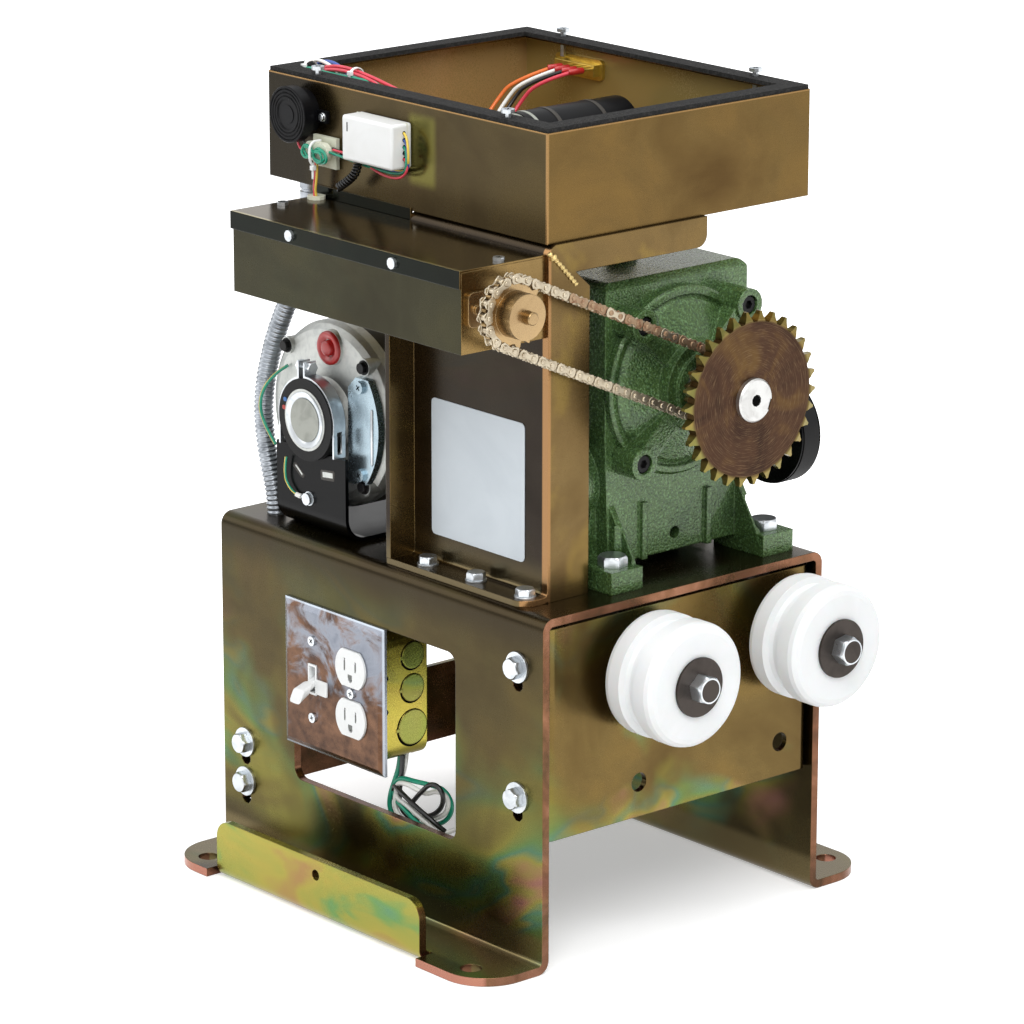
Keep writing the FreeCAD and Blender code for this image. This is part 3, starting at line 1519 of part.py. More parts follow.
def conduit():
    body = cord("conduit", conduit_route, conduit_size, 12)
    top = conduit_route[-1]
    lock = prism("Z", (top[0], top[1]), 26.0, tray_floor, tray_floor + 4.0, 8)
    lock = lock.cut(prism("Z", (top[0], top[1]), conduit_size + 1.0, tray_floor - 1, tray_floor + 5.0, 8))
    return [body, lock]


def supply_leads():
    low = outlet_z - outlet_box / 2
    x, y = lead_exit
    path = [(x, y, low + 14.0), (x, y, low - 8.0), (x + 4.0, y - 2.0, low - 24.0)]
    return [cord("supply leads", path, lead_bundle, 8).cut(supply_coil()[0]).Solids[0]]


def supply_coil():
    """The outer shape of the loose knot of leads."""
    x, y, z = lead_coil_place
    outer, half = lead_coil_size / 2, lead_coil_wire / 2
    inner = outer - lead_coil_wire
    profile = [(-half * 0.5, outer), (half * 0.5, outer), (half, outer - half), (half * 0.5, inner)]
    profile += [(-half * 0.5, inner), (-half, outer - half)]
    body = turned("Y", (0, 0), profile)
    body.rotate(V(0, 0, 0), V(0, 0, 1), -19.0)
    body.translate(V(x, y, z))
    return [body]


def limit_box_case():
    """Open-topped sheet box with two end flanges for the lid, hung on the column's front."""
    t = case_sheet
    x, y, z = (box_low, box_high), (box_front + t, -column_face), (box_floor, box_top - t)
    body = block(x, y, z).cut(block((x[0] + t, x[1] - t), (y[0] + t, y[1] - t), (z[0] + t, z[1] + 1)))
    for inner, outer in ((x[0] + 16.0, x[0] + 0.1), (x[1] - 16.0, x[1] - 0.1)):
        body = body.fuse(block(sorted((inner, outer)), (y[0] + 0.5, y[1] - 0.5), (z[1] - t, z[1])))
    place = (limit_shaft_y, limit_shaft_z)
    body = body.cut(rod("X", place, bearing_bush, x[0] - 1, x[1] + 1))
    for dy in (-bearing_screws, bearing_screws):
        body = body.cut(prism("X", (limit_shaft_y + dy, limit_shaft_z), 3.6, x[1] - 3, x[1] + 1, 6))
    for x_hole in limit_mount_places():
        middle = (box_floor + box_top) / 2
        body = body.cut(prism("Y", (x_hole, middle), 5.7, y[1] - t - 1, y[1] + 1, 6))
    body = body.cut(prism("Z", grommet_place, 9.6, z[1] - 3, z[1] + 1, 10))
    for hole in lid_top_screws():
        body = body.cut(prism("Z", hole, 3.8, z[1] - 3, z[1] + 1, 6))
    for hole in lid_front_screws():
        body = body.cut(prism("Y", hole, 3.8, y[0] - 1, y[0] + t + 1, 6))
    return [body.removeSplitter()]


def limit_box_lid():
    """Flat lid with a lip at the front and at the free end."""
    t = case_sheet
    lip_z = (box_top - lid_lip, box_top - 0.01)
    back = -column_face - 0.3
    body = block((box_low - t, box_high), (box_front, back), (box_top - t, box_top))
    body = body.fuse(block((box_low - t, box_high), (box_front, box_front + t), lip_z))
    body = body.fuse(block((box_low - t, box_low), (box_front, back), lip_z))
    body = body.cut(prism("Z", grommet_place, 8.8, box_top - t - 1, box_top + 1, 10))
    for hole in lid_top_screws():
        body = body.cut(prism("Z", hole, 3.8, box_top - t - 1, box_top + 1, 6))
    for hole in lid_front_screws():
        body = body.cut(prism("Y", hole, 3.8, box_front - 1, box_front + t + 1, 6))
    return [body.removeSplitter()]


def lid_top_screws():
    middle = (box_front - column_face) / 2
    return [(box_low + 8.0, middle + 2.0), (box_high - 9.0, middle + 4.0)]


def lid_front_screws():
    return [(x, box_top - lid_lip / 2) for x in (-35.4, 80.6)]


def cover_screws():
    """Small screws: limit box lid and mounting, outlet plate, and the studs for the control box's lid."""
    made = [screw("Z", place, box_top, -7.0, 3.6, 8.0, 2.4) for place in lid_top_screws()]
    made += [screw("Y", place, box_front, 6.0, 3.6, 8.0, 2.4) for place in lid_front_screws()]
    for x in limit_mount_places():
        place = (x, (box_floor + box_top) / 2)
        back = case_sheet + sheet
        seat = -column_face - case_sheet
        made.append(bolt("Y", place, seat, back + 5.0, 5.0, 8.0, 3.0, nut_from=back, nut_thick=4.0))
    made += [screw("Y", place, device_front(), 9.0, 3.5, 7.4, 1.6) for place in plate_screw_places()]
    head = tray_top + gasket + lid_screw_proud
    made += [screw("Z", place, head, -19.0, 4.0, 9.4, 2.6) for place in tray_screw_places()]
    return made


def tray_screw_places():
    inset = tray_rim / 2
    front, back = tray_front + inset, tray_back - inset
    middle = (tray_low + tray_high) / 2
    return [(middle + side * lid_screw_reach, y) for y in (front, back) for side in (-1, 1)]


def limit_bearings():
    """Flanged plain bearings in both ends of the limit box, the outer one on two screws."""
    place = (limit_shaft_y, limit_shaft_z)
    y = (limit_shaft_y - bearing_wide / 2, limit_shaft_y + bearing_wide / 2)
    z = (limit_shaft_z - bearing_high / 2, limit_shaft_z + bearing_high / 2)
    made = []
    for seat, side in ((box_high, 1), (box_low, -1)):
        x = sorted((seat, seat + side * bearing_plate))
        body = panel("X", y, z, *x, 4.5)
        body = body.fuse(rod("X", place, bearing_bush, *sorted((seat, seat - side * 9.0))))
        body = body.cut(rod("X", place, limit_bore + 2 * running, seat - 12.0, seat + 12.0))
        if side > 0:
            for dy in (-bearing_screws, bearing_screws):
                hole = (limit_shaft_y + dy, limit_shaft_z)
                body = body.fuse(screw("X", hole, seat + bearing_plate, -bearing_plate - 3.0, 3.4, 6.4, 2.6))
        made.append(body.removeSplitter())
    return made


def limit_shaft():
    """Screw with plain ends; the stretch between the bearings carries the two nuts."""
    low, high = box_low + 9.4, box_high - 9.4
    end = chain_plane + chain_tooth_width / 2 + chain_hub_long + 6.5
    core, crest = limit_bore / 2, screw_size / 2
    start = box_low - bearing_plate - 2.0
    profile = [(start, 0), (start, core), (low, core), (low, crest), (high, crest), (high, core)]
    profile += [(end - 0.8, core), (end, core - 0.8), (end, 0)]
    return [turned("X", (limit_shaft_y, limit_shaft_z), profile)]


def limit_nut(x):
    """Round nut with eight notches in its rim; the guide bar stands in one of them."""
    place = (limit_shaft_y, limit_shaft_z)
    start, end = x - nut_long / 2, x + nut_long / 2
    body = ring("X", place, nut_size, screw_size + 2 * running, start, end)
    for i in range(8):
        notch = block((start - 1, end + 1), (nut_size / 2 - 5.0, nut_size / 2 + 1), (-nut_notch / 2, nut_notch / 2))
        notch.rotate(V(0, 0, 0), V(1, 0, 0), 45 * i)
        notch.translate(V(0, *place))
        body = body.cut(notch)
    return [body]


def guide_edge():
    return limit_shaft_y + nut_size / 2 - 4.4


def lever_y():
    """The switch levers stand in front of the screw, in the nuts' way."""
    return limit_shaft_y - 13.0


def switch_places():
    """X of each switch's lever: just past the nut at the end of its travel, and the way it is pushed."""
    gap = 0.4
    return [
        (close_nut_x - nut_travel - nut_long / 2 - gap, -1),
        (open_nut_x + nut_travel + nut_long / 2 + gap, 1),
    ]


def limit_switches():
    """Guide bar on its rail, and a switch body at each end."""
    low = close_nut_x - nut_travel - nut_long
    high = open_nut_x + nut_travel + nut_long
    z = (limit_shaft_z - guide_bar / 2, limit_shaft_z + guide_bar / 2)
    back = -column_face - case_sheet
    bar = block((low, high), (guide_edge(), back), z)
    bar = bar.fuse(block((low, high), (back - guide_bar, back), (box_floor + case_sheet, z[0])))
    for x in limit_mount_places():
        bar = bar.cut(block((x - 7.0, x + 7.0), (back - 8.0, back + 1.0), (box_floor, limit_shaft_z + 8.0)))
    made = bar.removeSplitter().Solids
    for x, way in switch_places():
        y, low = lever_y(), box_floor + case_sheet
        made.append(block(sorted((x + way * 5.0, x + way * 33.0)), (y - 7.8, y + 7.8), (low, low + switch_high)))
    return made


def switch_pivot(x, way):
    return (x + way * 8.0, box_floor + case_sheet + switch_high + 2.2)


def switch_lever(index):
    """Bent lever with a roller at its top, beside the screw."""
    x, way = switch_places()[index]
    y = lever_y()
    pivot = switch_pivot(x, way)
    upright = x + way * 1.7
    arm = strip("Y", [pivot, (upright, pivot[1] + 6.0), (upright, limit_shaft_z + 3.0)], 0.9, 0.6, y - 3.5, y + 3.5)
    ear = rod("Y", pivot, 4.0, y - 4.5, y + 4.5)
    wheel = prism("Y", (upright, limit_shaft_z), 3.4, y - 3.5, y + 3.5, 10)
    return [ear.fuse(arm).fuse(wheel).removeSplitter()]


def control_box():
    """Open sheet tray with a rim bent inward all round."""
    t = tray_sheet
    x, y, z = (tray_low, tray_high), (tray_front, tray_back), (shelf_top, tray_top)
    body = block(x, y, z)
    body = body.cut(block((x[0] + t, x[1] - t), (y[0] + t, y[1] - t), (z[0] + t, z[1] - t)))
    mouth = block((x[0] + tray_rim, x[1] - tray_rim), (y[0] + tray_rim, y[1] - tray_rim), (z[1] - t - 1, z[1] + 1))
    body = body.cut(mouth)
    for place in tray_screw_places():
        body = body.cut(prism("Z", place, 4.3, z[1] - t - 1, z[1] + 1, 6))
    top = conduit_route[-1]
    body = body.cut(prism("Z", (top[0], top[1]), conduit_size + 1.0, z[0] - 1, z[0] + t + 1, 8))
    return [body.removeSplitter()]


def rim_gasket():
    inset = 0.8
    x, y = (tray_low + inset, tray_high - inset), (tray_front + inset, tray_back - inset)
    w = gasket_wide
    body = block(x, y, (tray_top, tray_top + gasket))
    body = body.cut(block((x[0] + w, x[1] - w), (y[0] + w, y[1] - w), (tray_top - 1, tray_top + gasket + 1)))
    for place in tray_screw_places():
        body = body.cut(prism("Z", place, 4.3, tray_top - 1, tray_top + gasket + 1, 6))
    return [body]


def capacitors():
    """Start and run capacitors lying on the floor, each with its cap."""
    made = []
    for x, size, length in zip(capacitor_x, capacitor_size, capacitor_long):
        place = (x, tray_floor + size / 2)
        end = tray_back - tray_rim * 2
        start = end - length
        made.append(rod("Y", place, size, start, end).fuse(rod("Y", place, size - 4.0, start - 5.0, start)))
    return made


def terminal_strip():
    """Terminal block in a frame on the back wall, over the capacitors."""
    y = tray_back - tray_sheet
    low, high = lead_tab_z - 10.0, lead_tab_z + 6.0
    body = panel("Y", (lead_tabs[0] - 25.0, lead_tabs[-1] + 5.0), (low, high), y - 2.6, y, 4.0)
    body = body.fuse(block((lead_tabs[0] - 20.0, lead_tabs[-1] + 1.5), (y - 8.0, y), (low + 3.5, high - 3.5)))
    for x in lead_tabs:
        body = body.fuse(block((x - 2.4, x + 2.4), (y - 17.0, y - 6.0), (lead_tab_z - 0.5, lead_tab_z + 0.5)))
    return [body.removeSplitter()]


def control_board():
    """Circuit board on standoffs with relays, a transformer and terminal blocks."""
    low = tray_floor + board_lift
    top = low + board_thick
    x, y = (board_x, board_x + board_long), (board_y, board_y + board_wide)
    body = block(x, y, (low, top))
    for post_x in (x[0] + board_edge, x[1] - board_edge):
        for post_y in (y[0] + board_edge, y[1] - board_edge):
            body = body.fuse(prism("Z", (post_x, post_y), board_edge, tray_floor, low, 6))
    relay_y = (y[1] - board_edge - relay_long, y[1] - board_edge)
    for i in range(3):
        relay_x = x[0] + 2 * board_edge + 1.3 * i * relay_wide
        body = body.fuse(block((relay_x, relay_x + relay_wide), relay_y, (top, top + relay_high)))
    winding_x = x[0] + board_long * 0.55
    winding_y = (y[1] - board_edge - winding_deep, y[1] - board_edge)
    body = body.fuse(block((winding_x, winding_x + winding_long), winding_y, (top, top + winding_high)))
    for block_x in (x[0] + board_edge, x[0] + board_edge + 1.15 * board_block_long):
        block_y = (y[0] + 2.0, y[0] + 2.0 + board_block_high)
        body = body.fuse(block((block_x, block_x + board_block_long), block_y, (top, top + board_block_high)))
    return [body]


def capacitor_leads():
    """Four leads up to the terminal strip, each ending in a crimp on its tab."""
    tab_end = tray_back - tray_sheet - 17.0
    made = []
    z = lead_tab_z
    slot = (z - 0.6, z + 0.6)
    for i, x in enumerate(lead_tabs):
        foot = lead_feet[i]
        path = [
            (foot, lead_foot_y, tray_floor + 2.0),
            (foot - 3.0, lead_foot_y + 4.0, tray_floor + 28.0),
            (foot + 3.0, lead_foot_y + 26.0, z - 5.0),
            (x, tab_end - 6.0, z),
        ]
        lead = cord("capacitor lead " + str(i + 1), path, wire_size)
        crimp = prism("Y", (x, z), 5.2, tab_end - 6.0, tab_end + 5.0, 6).cut(lead)
        made += [lead, crimp.cut(block((x - 2.5, x + 2.5), (tab_end, tab_end + 6.0), slot))]
    return made


def buzzer():
    """Round sounder with a stepped face and two screw ears."""
    back, front = tray_front, tray_front - buzzer_deep
    r = buzzer_size / 2
    profile = [(back, 0), (back, r - 3.0), (back - 7.0, r - 3.0), (back - 8.0, r), (front, r), (front, 12.0)]
    profile += [(front + 1.5, 12.0), (front + 1.5, 7.0), (front, 7.0), (front, 0)]
    body = turned("Y", buzzer_place, profile)
    x, z = buzzer_place
    made = []
    for side in (-1, 1):
        ear_x = x + side * (r + 3.5)
        tab = block(sorted((x + side * (r - 6.0), ear_x + side * 4.5)), (back - 2.6, back), (z - 4.5, z + 4.5))
        body = body.fuse(tab).cut(prism("Y", (ear_x, z), 3.4, back - 3.0, back + 1, 6))
        made.append(screw("Y", (ear_x, z), back - 2.6, 2.6, 3.2, 6.2, 2.0))
    return [body.removeSplitter()] + made


def receiver_case():
    """Plastic case with its lead holes in one end."""
    x, z = receiver_place
    back, front = tray_front, tray_front - receiver_deep
    hx, hz = receiver_wide / 2, receiver_high / 2
    return [panel("Y", (x - hx, x + hx), (z - hz, z + hz), front, back, 2.0)]


def control_leads():
    """Leads under the receiver, its coiled aerial, the leads to the limit box and the bundle in the tray."""
    x, z = receiver_place
    right, under = x + receiver_wide / 2, z - receiver_high / 2
    front = tray_front - receiver_deep
    tie_x, tie_z = tie_place
    loop = [
        (right, front + 8.0, z - 4.0),
        (right + 8.5, front + 8.0, z - 4.0),
        (right + 7.0, front + 9.0, under - 6.0),
        (right - 12.0, front + 12.0, under - 7.0),
        (x - 6.0, front + 14.0, under - 6.0),
        (x - receiver_wide / 2 - 12.0, front + 14.0, under - 3.5),
        (tie_x + 12.6, front + 11.0, tie_z + 1.0),
    ]
    aerial = [
        (x - 20.0, front + 8.5, under),
        (x - 20.0, front + 8.5, under - 8.0),
        (x - 28.0, front + 5.0, under - 17.0),
        (x - 37.0, front + 4.0, under - 22.0),
    ]
    drop = [
        (tie_x - 4.0, tray_front - 8.6, tie_z - 6.0),
        (tie_x - 4.0, tray_front - 8.6, tie_z - 14.0),
        (tie_x - 7.5, tray_front - 8.6, tie_z - 28.0),
        (grommet_place[0] + 1.0, grommet_place[1], box_top + 3.0),
    ]
    bundle = [
        (-150.0, -60.0, tray_floor + 5.0),
        (-148.0, -76.0, 566.0),
        (-128.0, -84.0, 592.0),
        (-96.0, -84.0, 596.0),
        (-62.0, -80.0, 586.0),
        (-46.0, -76.0, 562.0),
    ]
    return [
        cord("receiver leads", loop, 4.0),
        cord("aerial", aerial, 7.0, 8),
        cord("limit switch leads", drop, 4.4),
        cord("control bundle", bundle, 9.0, 8),
    ]


def tie_mount():
    """Adhesive square with a saddle, the spare lead tied on it in a flat coil, and the bush in the lid."""
    x, z = tie_place
    base = block((x - 13.5, x + 13.5), (tray_front - 3.0, tray_front), (z - 11.5, z + 11.5))
    base = base.fuse(block((x - 4.0, x + 4.0), (tray_front - 6.0, tray_front - 3.0), (z - 5.0, z + 5.0)))
    coil = panel("Y", (x - 14.0, x + 12.0), (z - 6.0, z + 8.0), tray_front - 11.0, tray_front - 6.0, 6.5)
    bush = prism("Z", grommet_place, 8.7, box_top - case_sheet - 1.6, box_top, 10)
    bush = bush.fuse(prism("Z", grommet_place, 13.0, box_top, box_top + 2.5, 10))
    bush = bush.cut(prism("Z", grommet_place, 5.2, box_top - 5.0, box_top + 5.0, 8))
    return [base.removeSplitter(), coil, bush]


def ground_wire():
    """Bonding wire beside the bell, and a short one to the screw on the cradle's arm."""
    face = bell_face()
    upper = [
        (motor_x - 45.0, face - 1.6, motor_z + 30.0),
        (motor_x - 53.0, face - 8.0, motor_z + 24.0),
        (motor_x - 66.0, face - 12.0, motor_z + 6.0),
        (motor_x - 65.0, face - 12.5, motor_z - 14.0),
        (motor_x - 48.0, face - 12.0, motor_z - 30.0),
    ]
    front = arm_middles()[0] - cradle_sheet / 2
    x, z = ground_place()
    lower = [
        (x - 28.0, front - 2.4, z + 26.0),
        (x - 27.0, front - 3.0, z + 13.0),
        (x - 18.0, front - 2.6, z + 2.0),
        (x - 5.0, front - 1.3, z),
    ]
    lower_wire = cord("arm bonding wire", lower, 2.0)
    eye = prism("Y", (x, z), 11.0, front - ground_eye, front, 10).cut(lower_wire)
    eye = eye.cut(prism("Y", (x, z), 4.6, front - 3.0, front + 1.0, 6))
    return [cord("bell bonding wire", upper, 2.6), lower_wire, eye]


parts = {
    "base_frame": base_frame,
    "roller_plate": roller_plate,
    "rear_brace": rear_brace,
    "frame_bolts": frame_bolts,
    "column_bracket": column_bracket,
    "deck_bolts": deck_bolts,
    "front_roller": lambda: roller(roller_places[0]),
    "rear_roller": lambda: roller(roller_places[1]),
    "roller_axles": roller_axles,
    "gearbox_housing": gearbox_housing,
    "gearbox_covers": gearbox_covers,
    "gearbox_screws": gearbox_screws,
    "output_shaft": output_shaft,
    "ball_bearings": ball_bearings,
    "worm_wheel": worm_wheel,
    "worm_shaft": worm_shaft,
    "gate_sprocket": gate_sprocket,
    "chain_drive_sprocket": chain_drive_sprocket,
    "limit_sprocket": limit_sprocket,
    "limit_chain": limit_chain,
    "gearbox_pulley": lambda: [pulley((gear_x, worm_z), gear_pulley_radius, input_size)],
    "motor_pulley": lambda: [pulley((motor_x, motor_z), motor_pulley_radius, motor_shaft)],
    "v_belt": v_belt,
    "motor_shell": motor_shell,
    "motor_end_bells": motor_end_bells,
    "motor_rotor": motor_rotor,
    "motor_mount_rings": motor_mount_rings,
    "motor_cradle": motor_cradle,
    "motor_clamps": motor_clamps,
    "terminal_cover": terminal_cover,
    "reset_button": reset_button,
    "ground_wire": ground_wire,
    "conduit": conduit,
    "junction_box": junction_box,
    "cover_plate": cover_plate,
    "toggle_switch": toggle_switch,
    "toggle_lever": toggle_lever,
    "duplex_outlet": duplex_outlet,
    "supply_leads": supply_leads,
    "supply_coil": supply_coil,
    "limit_box_case": limit_box_case,
    "limit_box_lid": limit_box_lid,
    "limit_bearings": limit_bearings,
    "limit_shaft": limit_shaft,
    "open_limit_nut": lambda: limit_nut(open_nut_x),
    "close_limit_nut": lambda: limit_nut(close_nut_x),
    "limit_switches": limit_switches,
    "close_switch_lever": lambda: switch_lever(0),
    "open_switch_lever": lambda: switch_lever(1),
    "cover_screws": cover_screws,
    "control_box": control_box,
    "rim_gasket": rim_gasket,
    "capacitors": capacitors,
    "terminal_strip": terminal_strip,
    "control_board": control_board,
    "capacitor_leads": capacitor_leads,
    "buzzer": buzzer,
    "receiver_case": receiver_case,
    "control_leads": control_leads,
    "tie_mount": tie_mount,
}


def build():
    os.makedirs("parts", exist_ok=True)
    for name, make in parts.items():
        solids = make()
        shape = solids[0] if len(solids) == 1 else Part.makeCompound(solids)
        shape.exportStep("parts/" + name + ".step")
    for name, length, radius, ratio in cord_notes:
        print(f"{name}: {length:.1f} mm long, tightest bend {radius:.1f} mm, volume ratio {ratio:.4f}")


build()
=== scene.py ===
"""Visual model of a slide gate operator, laid out as a Blender add-on and run as a script."""

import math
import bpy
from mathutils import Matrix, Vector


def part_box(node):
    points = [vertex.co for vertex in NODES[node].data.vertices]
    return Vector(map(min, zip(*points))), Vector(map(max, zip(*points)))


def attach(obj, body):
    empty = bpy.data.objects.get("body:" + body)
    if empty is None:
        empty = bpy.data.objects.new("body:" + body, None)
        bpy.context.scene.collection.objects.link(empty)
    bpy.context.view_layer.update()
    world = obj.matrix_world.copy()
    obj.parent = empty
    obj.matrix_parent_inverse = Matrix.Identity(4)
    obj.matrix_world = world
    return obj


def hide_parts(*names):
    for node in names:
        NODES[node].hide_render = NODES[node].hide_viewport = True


bl_info = {
    "name": "Slide Gate Operator",
    "version": (1, 0, 0),
    "blender": (4, 5, 0),
    "location": "View3D > Sidebar > Operator",
    "description": "Finishes, small parts and stage for the slide gate operator",
    "category": "Object",
}

import bmesh
import bpy
from bpy.props import FloatProperty, FloatVectorProperty
from mathutils import Matrix, Vector

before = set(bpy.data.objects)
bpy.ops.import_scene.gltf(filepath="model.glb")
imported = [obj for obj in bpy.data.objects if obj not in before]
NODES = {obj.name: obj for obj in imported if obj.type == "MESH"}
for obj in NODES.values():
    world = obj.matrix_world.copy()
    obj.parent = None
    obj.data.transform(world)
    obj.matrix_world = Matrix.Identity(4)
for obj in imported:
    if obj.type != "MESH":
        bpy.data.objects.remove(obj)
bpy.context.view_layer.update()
MM = 0.001


def linear(code):
    """Scene-linear colour of a hex code."""
    parts = [int(code[i : i + 2], 16) / 255 for i in (1, 3, 5)]
    return tuple(p / 12.92 if p <= 0.04045 else ((p + 0.055) / 1.055) ** 2.4 for p in parts)


def swatch(name, code, description):
    return FloatVectorProperty(
        name=name, description=description, subtype="COLOR", size=3, min=0.0, max=1.0, default=linear(code)
    )


def length(name, millimetres, description):
    return FloatProperty(name=name, description=description, unit="LENGTH", default=millimetres * MM, min=0.0)


# --------------------------------------------------------------------- settings


class SheetSettings(bpy.types.PropertyGroup):
    # Front, Side and Top are painted reflection and shade: one sheet gets a different tint by which way a face looks.
    front: swatch("Front", "#42381d", "Chromated sheet on faces that look along Y")
    side: swatch("Side", "#94794a", "Chromated sheet on faces that look along X")
    top: swatch("Top", "#41341f", "Chromated sheet on level faces")
    edge: swatch("Cut edge", "#6d4635", "Copper pink of the cut edges")
    weld: swatch("Weld", "#c9ab5c", "Bright weld beads")
    bloom_height: length("Bloom height", 150, "The rainbow bloom is strong below this height")


class CastingSettings(bpy.types.PropertyGroup):
    body: swatch("Body", "#4b6636", "Hammered enamel")
    light: swatch("Light", "#7fa873", "Raised spots of the enamel")
    dark: swatch("Dark", "#223a26", "Gaps between the spots")
    cell: length("Cell", 1.5, "Size of the hammered spots")


class WiringSettings(bpy.types.PropertyGroup):
    house_lead: length("House lead", 3.8, "Thickness of the loose leads under the outlet box")
    control_lead: length("Control lead", 1.9, "Thickness of the thin leads on the control box")
    bundle_lead: length("Bundle lead", 2.7, "Thickness of the bundled leads inside the control box")
    power_lead: length("Power lead", 3.0, "Thickness of the leads inside the control box")
    aerial: length("Aerial", 7.0, "Outer size of the coiled aerial")
    conduit: length("Conduit", 15.5, "Outer size of the flexible conduit")
    ridge: length("Conduit ridge", 3.7, "Distance from one ridge of the conduit to the next")


class DriveSettings(bpy.types.PropertyGroup):
    pitch: length("Chain pitch", 9.525, "Pitch of the limit chain")
    plate: length("Chain plate", 8.6, "Height of the chain's plates")
    disc: swatch("Sprocket disc", "#3f2a1c", "Turned face of the gate sprocket")
    tooth: swatch("Sprocket tooth", "#85703a", "Chromated teeth of the gate sprocket")


class StageSettings(bpy.types.PropertyGroup):
    lens: FloatProperty(name="Lens", description="Focal length on a 36 mm sensor", default=171.41, min=10.0)
    sky: FloatProperty(name="Sky", description="Strength of the even light round the object", default=0.6, min=0.0)
    key: FloatProperty(name="Key", description="Power of the large lamp", default=82.0, min=0.0)


def settings():
    return bpy.context.scene.gate_operator


class GateOperatorSettings(bpy.types.PropertyGroup):
    sheet: bpy.props.PointerProperty(type=SheetSettings, name="Sheet", description="Chromated sheet")
    casting: bpy.props.PointerProperty(type=CastingSettings, name="Casting", description="Gearbox enamel")
    drive: bpy.props.PointerProperty(type=DriveSettings, name="Drive", description="Chain and sprockets")
    wiring: bpy.props.PointerProperty(type=WiringSettings, name="Wiring", description="Leads, aerial and conduit")
    stage: bpy.props.PointerProperty(type=StageSettings, name="Stage", description="Camera and light")


# ---------------------------------------------------------------- node graphs


class Graph:
    """Writes a shader tree in few words. A value may be a number, a colour, a node or a socket."""

    def __init__(self, tree):
        self.tree = tree

    def feed(self, socket, value):
        if isinstance(value, bpy.types.Node):
            value = value.outputs[0]
        if isinstance(value, bpy.types.NodeSocket):
            self.tree.links.new(value, socket)
        elif hasattr(value, "__len__") and len(value) == 3 and socket.type == "RGBA":
            socket.default_value = (*value, 1.0)
        else:
            socket.default_value = value

    def add(self, kind, values=None, **named):
        node = self.tree.nodes.new("ShaderNode" + kind)
        for name, value in named.items():
            setattr(node, name, value)
        for name, value in (values or {}).items():
            self.feed(node.inputs[name], value)
        return node

    def math(self, operation, *values):
        node = self.add("Math", dict(enumerate(values)), operation=operation)
        return node.outputs[0]

    def mix(self, factor, one, other, blend="MIX"):
        node = self.add("Mix", data_type="RGBA", blend_type=blend)
        for index, value in ((0, factor), (6, one), (7, other)):
            self.feed(node.inputs[index], value)
        return node.outputs[2]

    def ramp(self, factor, stops, mode="LINEAR"):
        node = self.add("ValToRGB", {"Fac": factor})
        node.color_ramp.interpolation = mode
        marks = node.color_ramp.elements
        while len(marks) < len(stops):
            marks.new(0.5)
        for mark, (place, colour) in zip(marks, stops):
            mark.position = place
            mark.color = (*colour, 1.0) if hasattr(colour, "__len__") else (colour, colour, colour, 1.0)
        return node.outputs[0]

    def noise(self, place, scale, detail=2.0, rough=0.5, warp=0.0):
        values = {"Vector": place, "Scale": scale, "Detail": detail, "Roughness": rough, "Distortion": warp}
        return self.add("TexNoise", values).outputs[0]

    def stretch(self, place, x, y, z):
        return self.add("Mapping", {"Vector": place, "Scale": (x, y, z)}, vector_type="POINT").outputs[0]

    def between(self, value, low, high):
        """0 below low and 1 above high, with a soft step."""
        node = self.add("MapRange", {0: value, 1: low, 2: high}, interpolation_type="SMOOTHSTEP", clamp=True)
        return node.outputs[0]

    def band(self, value, low, high, soft=0.0004):
        """1 between low and high, in the value's own units, with soft sides."""
        rise = self.between(value, low - soft, low)
        return self.math("SUBTRACT", rise, self.between(value, high, high + soft))

    def times(self, *values):
        made = values[0]
        for value in values[1:]:
            made = self.math("MULTIPLY", made, value)
        return made

    def tint(self, colour, mask, share, code):
        """The colour with a share of another one, given by its hex code, where the mask is 1."""
        return self.mix(self.times(mask, share), colour, linear(code))

    def group(self, tree, values):
        node = self.add("Group")
        node.node_tree = tree
        for label, value in values.items():
            self.feed(node.inputs[label], value)
        return node.outputs


KINDS = {"Float": "NodeSocketFloat", "Color": "NodeSocketColor", "Vector": "NodeSocketVector"}


LOOK_OUT = [("Color", "Color"), ("Roughness", "Float"), ("Height", "Float")]


def effect(name, inputs, outputs, write):
    """A shader node group, built once. inputs lists (name, kind, default), outputs (name, kind)."""
    tree = bpy.data.node_groups.get(name)
    if tree:
        return tree
    tree = bpy.data.node_groups.new(name, "ShaderNodeTree")
    for label, kind, default in inputs:
        socket = tree.interface.new_socket(label, in_out="INPUT", socket_type=KINDS[kind])
        if default is not None:
            socket.default_value = (*default, 1.0) if kind == "Color" else default
    for label, kind in outputs:
        tree.interface.new_socket(label, in_out="OUTPUT", socket_type=KINDS[kind])
    graph = Graph(tree)
    entry, leave = tree.nodes.new("NodeGroupInput"), tree.nodes.new("NodeGroupOutput")
    for label, value in write(graph, entry.outputs).items():
        graph.feed(leave.inputs[label], value)
    return tree


